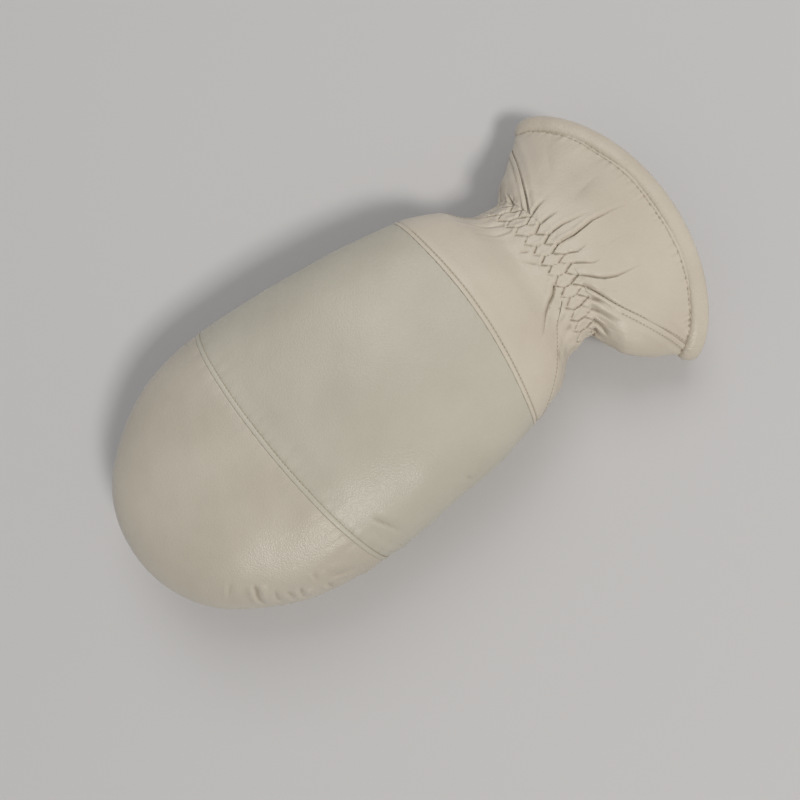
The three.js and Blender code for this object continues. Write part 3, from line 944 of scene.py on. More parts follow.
@dataclass(frozen=True)
class Crease:
    """One fold line in the leather: a sharp valley with soft shoulders.

    The route is in the surface's own two measures. The depth and the width are in millimetres. The lean says
    how much gentler one side of the valley is, and broad how many times wider its soft upper part is.
    """

    route: tuple[tuple[float, float], ...]
    depth: float = 1.2
    width: float = 0.5
    shoulder: float = 0.3
    lean: float = 0.4
    fades_in: float = 0.0
    fades_out: float = 0.7
    samples: int = 10
    broad: float = 3.0

    def line(self, surface: Callable[[Array, Array], Array]) -> tuple[Array, Array]:
        """The route's points on a surface, and the directions across it."""
        route = np.array(self.route, float)
        share = np.linspace(0, len(route) - 1, self.samples * (len(route) - 1) + 1)
        first, second = (np.interp(share, np.arange(len(route)), route[:, k]) for k in (0, 1))
        line = surface(first, second)
        return line, surface(first, second + 0.3) - line

    def strength(self, share: Array) -> Array:
        """The share of the whole depth along the route."""
        whole = fade(share, 0, self.fades_in) if self.fades_in else 1.0
        return whole * (1 - fade(share, 1 - self.fades_out, 1.001) if self.fades_out else 1.0)


def creased(points: Array, creases: Sequence[Crease], surface: Callable[[Array, Array], Array]) -> Array:
    """The heights that fold lines give to a patch.

    Args:
        points: rows by columns of points in millimetres.
        creases: the fold lines.
        surface: gives a point from the two measures of their routes.

    Returns:
        Heights in millimetres, rows by columns.
    """
    flat = points.reshape(-1, 3)
    valley = np.zeros(len(flat))
    shoulder = np.zeros(len(flat))
    for crease in creases:
        line, aside = crease.line(surface)
        reach = 2 * crease.broad * crease.width + 1
        near = np.flatnonzero(((flat > line.min(0) - reach) & (flat < line.max(0) + reach)).all(axis=1))
        if not len(near):
            continue
        legs = np.diff(line, axis=0)
        offset = flat[near, None] - line[None, :-1]
        along = np.clip((offset * legs).sum(-1) / (legs * legs).sum(-1), 0, 1)
        gap = offset - along[..., None] * legs
        distance = np.linalg.norm(gap, axis=-1)
        best = distance.argmin(axis=1)
        rows = np.arange(len(near))
        away = distance[rows, best]
        side = (gap[rows, best] * unit(aside[best])).sum(axis=-1)
        width = crease.width * (1 + crease.lean * np.tanh(side / 0.5))
        strength = crease.depth * crease.strength((best + along[rows, best]) / len(legs))
        sharp = np.exp(-((away / width) ** 1.3))
        profile = 0.6 * sharp + 0.4 * np.exp(-((away / (crease.broad * width)) ** 2))
        valley[near] = np.maximum(valley[near], strength * profile)
        hill = crease.shoulder * strength * bump(away, 3.2 * width, 2.0 * width)
        shoulder[near] = np.maximum(shoulder[near], hill)
    return (shoulder - valley).reshape(points.shape[:2])


def shell(
    patches: Sequence[Piece],
    name: str,
    centre: tuple[float, float, float],
    material: Material,
    rounds: int = 14,
) -> Piece:
    """A piece of leather made from its patches: joined, detailed, given its thickness and finished.

    Args:
        patches: the grids that meet along their edges.
        name: the piece's name.
        centre: a point inside the mitten, in millimetres.
        material: its finish.
        rounds: how wide a neighbourhood its creases are told from.

    Returns:
        The piece.
    """
    piece = joined(patches, name)
    outward(piece, centre)
    raise_detail(piece)
    mark_creases(piece, rounds)
    apply_modifier(piece, "SOLIDIFY", thickness=WALL * MM, offset=-1.0, use_even_offset=False, use_rim=True)
    finish(piece, material)
    return piece


def finish(piece: Piece, material: Material) -> None:
    """Gives a piece its only material and smooth shading."""
    piece.data.materials.clear()
    piece.data.materials.append(material)
    pick(piece)
    bpy.ops.object.shade_smooth_by_angle(angle=math.radians(SMOOTH_BELOW))


def fit(piece: Piece, slot: str, *nodes: str, fill: float | None = None) -> None:
    """Tells the frame what a piece rides on, hides the solids that it stands for, and reports it.

    Args:
        piece: the finished piece.
        slot: not used.
        nodes: the solids that it stands for.
        fill: not used.
    """
    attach(piece, ROOT)
    if nodes:
        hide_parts(*nodes)
    low, high = (np.array(piece.bound_box).min(0), np.array(piece.bound_box).max(0))
    size = " x ".join(f"{v / MM:.0f}" for v in high - low)
    log.info("%s: %d faces, %s mm", piece.name, len(piece.data.polygons), size)


# The hand


@dataclass
class Hand:
    """The hand's leather: three panels over the back, gathered onto a flat palm, and the thumb under it."""

    finishes: Finishes
    edge: float = 0.9
    seam_fold: float = 0.36
    hind_fold: float = 0.2
    lumps: Hills = Hills(SEED, 34, 80)
    ripples: Hills = Hills(SEED + 1, 9, 22)
    coarse_rounds: int = 6
    palm_edge: float = 0.5
    palm_half: float = 60.0
    palm_samples: int = 201
    thumb_voxel: float = 2.2
    thumb_swell: float = 1.2
    thumb_round: float = 10.0
    gather_pitch: float = 4.6
    gather_height: float = 1.9
    gather_reach: float = 22.0
    thumb_side_reach: float = 36.0
    seam_calm: float = 6.0
    lump_height: float = 0.55
    ripple_height: float = 0.09
    pucker_height: float = 0.3
    pucker_reach: float = 9.0
    stitch_line: float = 2.1
    bearings: Array = field(default_factory=lambda: np.linspace(-90, 90, 1441))

    def undulation(self, points: Array) -> Array:
        """The stuffed leather's soft unevenness."""
        return self.lump_height * self.lumps(points) + self.ripple_height * self.ripples(points)

    def rim(self, bearings: Array) -> Array:
        """The distance along the gathered seam at each bearing, from the thumb side's end of the first seam."""
        line = FORM.tip_roll(self.bearings, np.full_like(self.bearings, -60.0))
        return np.interp(bearings, self.bearings, run_along(line))

    def gathers(self, place: Array, away: Array, ridges: Ridges, reach: Array) -> Array:
        """The gathers above the palm's seam: rounded puffs with sharp creases between them.

        Args:
            place: the distance along the seam.
            away: the distance from it.
            ridges: the row of gathers.
            reach: how far the longest one runs.

        Returns:
            Heights in millimetres.
        """
        high = ridges(place, away, reach, lean=0.12)
        return self.gather_height * (high - 0.42 * bump(away, 0, 0.4 * self.gather_reach))

    def seam_puckers(self, place: Array, away: Array, ridges: Ridges) -> Array:
        """The small puckers that stitching draws into the leather beside a seam."""
        return self.pucker_height * (ridges(place, away, self.pucker_reach) - 0.5 * bump(away, 0, 6.0))

    def fingertips(self) -> Piece:
        """The fingertip panel, from the gathered rim up over the fingertips to the first seam."""
        half = float(FORM.hand("half", FORM.tip))
        rim = self.rim(self.bearings)
        run = graded(float(rim[-1]), 0.78, fine=0.3)
        bearings = np.interp(run, rim, self.bearings)[:, None]
        climbs = np.linspace(-90, 90, 900)[None]
        forward = FORM.tip_forward(bearings, climbs)[..., None]
        walls = np.concatenate([FORM.tip_wall(bearings, climbs), forward], axis=-1)
        lengths = curve_lengths(walls)
        template = graded(float(lengths.mean()), 1.0, fine=0.25)
        places = template[None] * (lengths / template[-1])[:, None]
        rows = resample(walls, places)
        points, from_seam = rows[..., :3], rows[..., 3]
        ridges = Ridges(SEED + 2, float(rim[-1]), self.gather_pitch, 0.28)
        puckers = Ridges(SEED + 3, 2 * half, 6.5, 0.35)
        reach = self.gather_reach + (self.thumb_side_reach - self.gather_reach) * fade(-bearings, 25, 60)
        lift = self.gathers(run[:, None], places, ridges, reach) * fade(from_seam, 0, self.seam_calm)
        lift += self.undulation(points)
        lift -= fold_drop(places + SEAM_GAP, self.edge) + fold_drop(from_seam, self.seam_fold)
        high = fade(points[..., 2], 12, 30)
        lift += self.seam_puckers(points[..., 1] + half, from_seam, puckers) * high
        lift += 0.2 * bump(from_seam, 3.5, 3.0) * high
        lift += creased(points, self.rim_puckers(), FORM.tip_wall)
        patch = cloth_grid(points, lift)
        # The fingertips take the darker tip leather: partly its own tone, partly painted shade.
        return shell([patch], "fingertip_panel_leather", (-90, 0, 36), self.finishes.tip, self.coarse_rounds)

    def rim_puckers(self) -> list[Crease]:
        """The slanted puckers that show above the widest line on the thumb side."""
        folds = (
            (0.7, 0.8, ((-40.5, 54.0), (-44.7, 47.2), (-52.0, 31.8), (-56.0, 18.0))),
            (0.4, 0.9, ((-48.5, 54.8), (-56.7, 34.8), (-61.0, 20.0))),
            (0.45, 0.8, ((-53.2, 52.5), (-58.5, 42.8), (-64.0, 27.0))),
            (0.6, 0.8, ((-56.7, 57.0), (-62.0, 43.0), (-69.0, 23.2))),
            (0.3, 0.8, ((-53.2, 70.8), (-62.5, 60.5))),
            (0.4, 1.1, ((-61.0, 66.0), (-67.5, 72.5), (-77.0, 79.8))),
            (0.5, 0.9, ((-65.0, 62.0), (-71.0, 47.0), (-75.0, 30.0))),
            (0.3, 0.8, ((-33.0, 52.0), (-38.0, 39.8), (-41.0, 28.0))),
        )
        return [Crease(route, depth, width, 0.95, 0.3, fades_in=0.25) for depth, width, route in folds]

    def across_back(self, stations: Array, step: float) -> tuple[Array, Array, Array]:
        """Rows of points over the back between the two side seams.

        Args:
            stations: the rows' stations.
            step: the widest spacing across.

        Returns:
            The points with their turns as a fourth channel, and the distances from the thumb side's seam and
            from the far side's.
        """
        thumb = np.maximum(FORM.side_seam("thumb", stations), -90)
        far = np.minimum(FORM.side_seam("far", stations), 270)
        return rows_between(FORM.gathered, stations, (thumb, far), step, 700)

    def knuckles(self) -> Piece:
        """The knuckle panel, whose front edge is folded over the first seam and stitched down."""
        stations = FORM.tip + graded(FORM.second_seam - FORM.tip, 1.0, fine=0.18)
        rows, near, far = self.across_back(stations, 1.25)
        points = rows[..., :3]
        front = (stations - stations[0])[:, None]
        behind = (stations[-1] - stations)[:, None]
        lift = self.undulation(points)
        for side, away in enumerate((near, far)):
            ridges = Ridges(SEED + 5 + side, 130.0, self.gather_pitch, 0.3)
            strength = (1 - fade(front, 16, 40)) * fade(front, 0, self.seam_calm)
            reach = self.gather_reach if side else self.thumb_side_reach
            lift += self.gathers(front + np.zeros_like(away), away, ridges, reach) * strength
            lift -= fold_drop(away + SEAM_GAP, self.edge)
        lift += self.folded_edge(front)
        lift -= fold_drop(behind, self.hind_fold)
        puckers = Ridges(SEED + 8, 260.0, 6.0, 0.35)
        lift += self.seam_puckers(near, np.maximum(front - 2.2, 0), puckers) * fade(front, 2.0, 3.0)
        lift += 0.5 * self.seam_puckers(near + 3, behind, puckers)
        lift += creased(points, self.knuckle_creases(), FORM.back)
        patch = cloth_grid(points, lift)
        return shell([patch], "knuckle_panel_leather", (-10, 0, 40), self.finishes.middle, self.coarse_rounds)

    def knuckle_creases(self) -> list[Crease]:
        """The few soft creases on the stuffed middle panel."""
        folds = (
            (((100.5, 47.0), (101.7, 39.2), (104.2, 28.8), (105.7, 12.0)), 0.55, 0.8, 0.6, 0.5, 0.3),
            (((144.0, 26.0), (145.7, 20.2), (147.0, 8.0)), 0.4, 0.9, 0.5, 0.3, 0.3),
            (((160.0, 118.0), (161.5, 114.5), (164.7, 113.0)), 0.12, 0.3, 0.5, 0.0, 0.2),
        )
        return [Crease(*fold) for fold in folds]

    def folded_edge(self, away: Array) -> Array:
        """The height of an edge folded under and stitched 2 mm from its fold."""
        strip = 0.3 * (1 - fade(away, 1.4, self.stitch_line)) - fold_drop(away, self.seam_fold)
        return strip - 0.24 * bump(away, self.stitch_line, 0.4) + 0.2 * bump(away, 5.0, 2.6)

    def wrist_creases(self) -> list[Crease]:
        """The creases that the elastic draws into the wrist panel, the longest on the thumb side."""
        longest = ((219.0, 75.0), (216.5, 70.0), (212.0, 65.5), (206.0, 60.5), (200.0, 56.5))
        folds = (
            (longest, 1.6, 0.4, 0.35, 0.7),
            (((219.0, 89.0), (215.5, 93.0), (211.0, 98.5)), 0.5, 0.35, 0.3, 0.4, 0.3),
            (((219.0, 98.5), (216.0, 101.0), (214.5, 102.5)), 0.7, 0.4, 0.3, 0.4, 0.3),
            (((219.0, 121.0), (213.0, 123.0), (205.0, 128.0)), 0.45, 0.7),
            (((219.0, 131.0), (212.0, 138.0), (204.0, 146.0)), 0.6, 0.7),
            (((219.0, 53.0), (215.0, 50.0), (210.0, 46.0)), 0.6, 0.5),
        )
        return [Crease(*fold) for fold in folds]

    def wrist(self) -> Piece:
        """The wrist panel, drawn in by the elastic."""
        stations = FORM.second_seam + graded(FORM.hand_end - FORM.second_seam, 0.5)
        rows, near, far = self.across_back(stations, 0.5)
        points = rows[..., :3]
        front = (stations - stations[0])[:, None]
        behind = (stations[-1] - stations)[:, None]
        lift = self.undulation(points) * fade(behind, 0, 12)
        lift -= fold_drop(near + SEAM_GAP, self.edge) + fold_drop(far + SEAM_GAP, self.edge)
        lift += self.folded_edge(front) + SHIRRING.risen(points, behind)
        on_side = fade(np.abs(rows[..., 3] - 95), 32, 50)
        lift += drawn_in(rows[..., 3], behind, 11.0) * on_side * fade(behind, 0, 3)
        lift += creased(points, self.wrist_creases(), FORM.gathered)
        lift += creased(points, SHIRRING.creases(), FORM.band)
        patch = cloth_grid(points, lift)
        return shell([patch], "wrist_panel_leather", (50, 0, 35), self.finishes.leather)

    def palm(self) -> Piece:
        """The palm panel: a fan under the fingertips, and rows behind it that climb the sides at the wrist."""
        edge = np.linspace(0, 1, 51)
        shares = 1 - (1 - edge) ** 1.15
        bearings = np.linspace(-90, 90, 201)
        dense = FORM.tip_palm(bearings[:, None], np.linspace(0, 1, self.palm_samples)[None])
        fan = resample(dense, shares[None] * curve_lengths(dense)[:, None])
        rim = self.rim(bearings)
        lift = self.palm_detail(fan, (1 - shares)[None] * self.palm_half, rim[:, None])
        fan_patch = cloth_grid(fan, lift)
        stations = FORM.tip + graded(FORM.hand_end - FORM.tip, 1.7, both=False)
        across = np.concatenate([-shares[::-1], shares[1:]])
        points = np.stack([self.palm_row(float(at), across) for at in stations])
        away = (1 - np.abs(across))[None] * self.palm_half
        along = stations - FORM.tip
        sides = np.where(across < 0, -along[:, None], rim[-1] + along[:, None])
        lift = self.palm_detail(points, away, sides)
        behind = (stations[-1] - stations)[:, None]
        lift = lift * fade(behind, 0, 12) + SHIRRING.risen(points, behind)
        lift += drawn_in(FORM.around(points), behind, 14.0) * fade(behind, 0, 2)
        lift += creased(points, SHIRRING.creases(), FORM.band)
        rows_patch = cloth_grid(points, lift)
        return shell([fan_patch, rows_patch], "palm_panel_leather", (-20, 0, 60), self.finishes.leather)

    def palm_row(self, at: float, across: Array) -> Array:
        """One row of the palm, from seam to seam: up the roll on each side where the seam has climbed."""
        thumb = max(float(FORM.side_seam("thumb", at)), -90.0)
        far = min(float(FORM.side_seam("far", at)), 270.0)
        line = FORM.palm(at, np.linspace(-1, 1, 2 * self.palm_samples - 1))
        if thumb > -89.9:
            near = FORM.back(at, np.linspace(thumb, -90, 160))
            away = FORM.back(at, np.linspace(270, far, 160))
            line = np.concatenate([near, line[1:-1], away])
        line = FORM.to_elastic(line, np.full(len(line), at))
        run = run_along(line)
        place = (across + 1) / 2 * run[-1]
        return np.stack([np.interp(place, run, line[:, axis]) for axis in range(3)], axis=-1)

    def palm_detail(self, points: Array, away: Array, along: Array) -> Array:
        """Soft hills over the palm, puckers along its gathered seam, and its edge rounded into the seam.

        Args:
            points: the points in millimetres.
            away: how far each lies from the seam.
            along: how far along the seam each lies.

        Returns:
            Heights in millimetres.
        """
        lift = 0.45 * self.lumps(points + 40) + 0.12 * self.ripples(points)
        puckers = Ridges(SEED + 9, 500.0, self.gather_pitch, 0.3)
        lift += 0.45 * (puckers(along + 140, away, 9.0) - 0.5 * bump(away, 0, 5.0))
        return lift - fold_drop(away + SEAM_GAP, self.palm_edge)

    def thumb(self) -> Piece:
        """The thumb, from its solid: swollen as cloth, gathered round its edge and folded at its root."""
        piece = copied_node("thumb", "thumb_leather")
        plumped(piece, self.thumb_voxel, self.thumb_swell)
        points = read_points(piece) / MM
        steep = np.abs(read_points(piece, "normal")[:, 2])
        away = np.arcsin(np.clip(steep, 0, 1)) * self.thumb_round
        run, length = round_the_edge(points)
        gathers = Ridges(SEED + 32, length, self.gather_pitch, 0.3, closed=True)
        lift = 0.35 * Hills(SEED + 30, 14, 34)(points)
        lift += 1.1 * (gathers(run, away, 6.0) - 0.45 * bump(away, 0, 4.0)) - 0.9 * bump(away, 0, 1.0)
        folds = Ridges(SEED + 31, 110.0, 5.5, 0.35)
        bend = bump(points[:, 0], 42.0, 12.0)
        lift += 0.8 * bend * (folds(points[:, 0] + 60, np.zeros(len(points)), 10.0) - 0.4)
        write_values(piece, "lift", np.where(points[:, 2] > 0.6, lift, 0))
        raise_detail(piece)
        mark_creases(piece, rounds=6)
        finish(piece, self.finishes.leather)
        return piece

    def build(self) -> dict[str, Piece]:
        """Builds and fits the five pieces of the hand."""
        made = {
            "fingertip_panel": self.fingertips(),
            "knuckle_panel": self.knuckles(),
            "wrist_panel": self.wrist(),
            "palm_panel": self.palm(),
            "thumb": self.thumb(),
        }
        for node, piece in made.items():
            fit(piece, LEATHER_SLOT, node, fill=0.8)
        return made


def round_the_edge(points: Array, corners: int = 180) -> tuple[Array, float]:
    """How far round a flat piece's outline, as seen from above, each of its points lies.

    Args:
        points: the piece's points in millimetres.
        corners: how many corners the outline is read with.

    Returns:
        The distances, and the outline's length.
    """
    offset = points[:, :2] - points[:, :2].mean(axis=0)
    bearing = np.arctan2(offset[:, 1], offset[:, 0])
    slot = ((bearing / math.pi + 1) / 2 * corners).astype(int) % corners
    reach = np.zeros(corners)
    np.maximum.at(reach, slot, np.linalg.norm(offset, axis=1))
    angles = np.linspace(-math.pi, math.pi, corners + 1)
    reach = np.append(reach, reach[0])
    outline = np.stack([reach * np.cos(angles), reach * np.sin(angles)], axis=-1)
    run = run_along(outline)
    return np.interp(bearing, angles, run), float(run[-1])


def copied_node(node: str, name: str) -> Piece:
    """A copy of one of the frame's solids as a mesh of its own, with its loose triangles merged."""
    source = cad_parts[node]
    piece = bpy.data.objects.new(name, source.data.copy())
    bpy.context.scene.collection.objects.link(piece)
    pick(piece)
    bpy.ops.object.mode_set(mode="EDIT")
    bpy.ops.mesh.select_all(action="SELECT")
    bpy.ops.mesh.remove_doubles(threshold=0.01 * MM)
    bpy.ops.object.mode_set(mode="OBJECT")
    return piece


def plumped(piece: Piece, voxel: float, swell: float, frames: int = 20, pressure: float = 4.0) -> None:
    """Swells a stuffed piece under pressure from inside, as cloth, and subdivides it.

    Args:
        piece: the piece, which is remeshed.
        voxel: the size of its new faces in millimetres.
        swell: the furthest that a point may move, in millimetres.
        frames: how long the cloth moves.
        pressure: how hard it is pressed outwards.
    """
    pick(piece)
    piece.data.remesh_voxel_size = voxel * MM
    bpy.ops.object.voxel_remesh()
    before = read_points(piece)
    bpy.ops.object.modifier_add(type="CLOTH")
    cloth = piece.modifiers[-1]
    cloth.settings.use_pressure = True
    cloth.settings.uniform_pressure_force = pressure
    cloth.settings.effector_weights.gravity = 0.0
    for number in range(1, frames + 1):
        bpy.context.scene.frame_set(number)
    bpy.ops.object.modifier_apply(modifier=cloth.name)
    bpy.context.scene.frame_set(1)
    moved = read_points(piece) - before
    length = np.maximum(np.linalg.norm(moved, axis=1, keepdims=True), 1e-9)
    points = before + moved * np.minimum(1, swell * MM / length)
    points[:, 2] = np.maximum(points[:, 2], 0)
    write_points(piece, points)
    apply_modifier(piece, "SUBSURF", levels=1, render_levels=1)


# The elastic wrist and the cuff


@dataclass(frozen=True)
class Shirring:
    """The elastic's pattern: two zigzag rows of stitches, and a slanted puff between each two teeth.

    A tooth is counted at its corner towards the cuff. The turns of the teeth on the back are as they lie there,
    and the others are evenly spaced.
    """

    on_back: tuple[float, ...] = (60.0, 68.5, 78.0, 86.0, 94.0, 103.5, 114.0, 124.0)
    count: int = 32
    cuff_corner: float = 0.975
    cuff_valley: float = 0.65
    hand_corner: float = 0.33
    hand_valley: float = 0.04
    cuff_lean: float = 0.38
    hand_lean: float = 0.23
    hand_back: float = 0.61
    depth: float = 1.25
    roundness: float = 4.6
    rise: float = 1.25
    rise_reach: float = 18.0
    puffs: Hills = Hills(SEED + 40, 5, 12)

    def turn(self, tooth: Array) -> Array:
        """The turn at a place counted in teeth."""
        tooth = np.asarray(tooth, float)
        once_round = np.interp(tooth % self.count, np.arange(self.count + 1), self.turns())
        return once_round + 360 * (tooth // self.count)

    def turns(self) -> Array:
        """The teeth's turns once round the wrist."""
        rest = np.linspace(self.on_back[-1], self.on_back[0] + 360, 1200)
        run = run_along(FORM.band(0.5, rest))
        others = self.count - len(self.on_back) + 1
        even = np.interp(np.linspace(0, run[-1], others + 1)[1:], run, rest)
        return np.concatenate([self.on_back, even])

    def phase(self, turn: Array) -> Array:
        """The place at a turn, counted in teeth."""
        turn = (np.asarray(turn, float) - self.on_back[0]) % 360 + self.on_back[0]
        return np.interp(turn, self.turns(), np.arange(self.count + 1))

    def cuff_row(self, tooth: float) -> tuple[tuple[float, float], ...]:
        """The corners of one tooth of the row nearest the cuff: corner, valley and the next corner."""
        corner = (self.cuff_corner, float(self.turn(tooth)))
        valley = (self.cuff_valley, float(self.turn(tooth - self.cuff_lean)))
        return corner, valley, (self.cuff_corner, float(self.turn(tooth - 1)))

    def hand_row(self, tooth: float) -> tuple[tuple[float, float], ...]:
        """The corners of one tooth of the row nearest the hand."""
        corner = (self.hand_corner, float(self.turn(tooth - self.hand_lean)))
        valley = (self.hand_valley, float(self.turn(tooth - self.hand_back)))
        return corner, valley, (self.hand_corner, float(self.turn(tooth - 1 - self.hand_lean)))

    def creases(self) -> list[Crease]:
        """The folds along both rows and between them."""
        random = np.random.default_rng(SEED + 41)
        folds = []
        for tooth in range(self.count):
            deep = self.depth * random.uniform(0.65, 1.35, 5)
            cuff, hand = self.cuff_row(tooth), self.hand_row(tooth)
            legs = (
                (cuff[:2], 0.95 * deep[0], 0.28, 0.4, 0.7, 0.0),
                (cuff[1:], 0.75 * deep[1], 0.27, 0.35, -0.5, 0.0),
                (hand[:2], 0.78 * deep[2], 0.27, 0.4, 0.7, 0.3),
                (hand[1:], 0.72 * deep[3], 0.27, 0.35, -0.5, 0.0),
                ((cuff[1], hand[0]), 0.78 * deep[4], 0.28, 0.4, 0.6, 0.0),
            )
            for route, depth, width, shoulder, lean, fades_out in legs:
                folds.append(Crease(route, depth, width, shoulder, lean, 0.0, fades_out, 3, self.roundness))
        return folds

    def risen(self, points: Array, away: Array) -> Array:
        """How far the gathered leather stands out at a distance from the elastic."""
        return (self.rise + 0.3 * self.puffs(points)) * (1 - fade(away, 0, self.rise_reach))


SHIRRING = Shirring()


def drawn_in(turn: Array, away: Array, reach: float) -> Array:
    """The soft gathers that the elastic draws into the leather next to it.

    Args:
        turn: the turn round the wrist.
        away: the distance from the elastic.
        reach: how far the longest gather runs.

    Returns:
        Heights in millimetres.
    """
    phase = SHIRRING.phase(turn)
    index = np.floor(phase)
    strength = 0.55 + 0.45 * np.sin(index * 2.4) * np.cos(index * 1.1 + 0.7)
    length = reach * (0.35 + 0.65 * np.abs(np.sin(index * 1.7 + 0.4)))
    crest = np.abs(np.sin(math.pi * (phase % 1))) ** 0.8
    return strength * (crest - 0.55) * np.exp(-((away / length) ** 1.5))


@dataclass
class Wrist:
    """The shirred band over the elastic."""

    finishes: Finishes
    columns: int = 580
    rows: int = 38

    def build(self, hand_creases: Sequence[Crease], cuff_creases: Sequence[Crease]) -> Piece:
        """Builds and fits the band.

        Args:
            hand_creases: the wrist panel's creases, which start at the band.
            cuff_creases: the cuff's, which start at the band's teeth.

        Returns:
            The band.
        """
        along = np.linspace(0, 1, self.rows)
        turns = SHIRRING.turn(np.linspace(0, SHIRRING.count, self.columns + 1))
        points = FORM.band(along[:, None], turns[None])
        lift = SHIRRING.risen(points, np.zeros(points.shape[:2]))
        lift += creased(points, [*SHIRRING.creases(), *cuff_creases], FORM.band)
        lift += creased(points, hand_creases, FORM.gathered)
        patch = cloth_grid(points, lift)
        piece = shell([patch], "elastic_wrist_leather", (82, 3, 32), self.finishes.leather)
        fit(piece, LEATHER_SLOT, "elastic_wrist", fill=0.5)
        return piece


class Seam(Enum):
    """The cuff's three seams, each with its turn at the elastic and at the edge."""

    THUMB = (60.0, 12.0)
    FAR = (128.0, 200.0)
    PALM = (275.0, 268.0)
    THUMB_AGAIN = (420.0, 372.0)

    def turn(self, along: Array) -> Array:
        """Where the seam runs, in degrees, at a place along the cuff."""
        wrist, edge = self.value
        return wrist + (edge - wrist) * (along - 1)


PANELS = (
    ("cuff_back", "cuff_back_leather", Seam.THUMB, Seam.FAR, 0.42),
    ("cuff_palm_far_side", "cuff_palm_far_leather", Seam.FAR, Seam.PALM, 0.55),
    ("cuff_palm_thumb_side", "cuff_palm_thumb_leather", Seam.PALM, Seam.THUMB_AGAIN, 0.55),
)


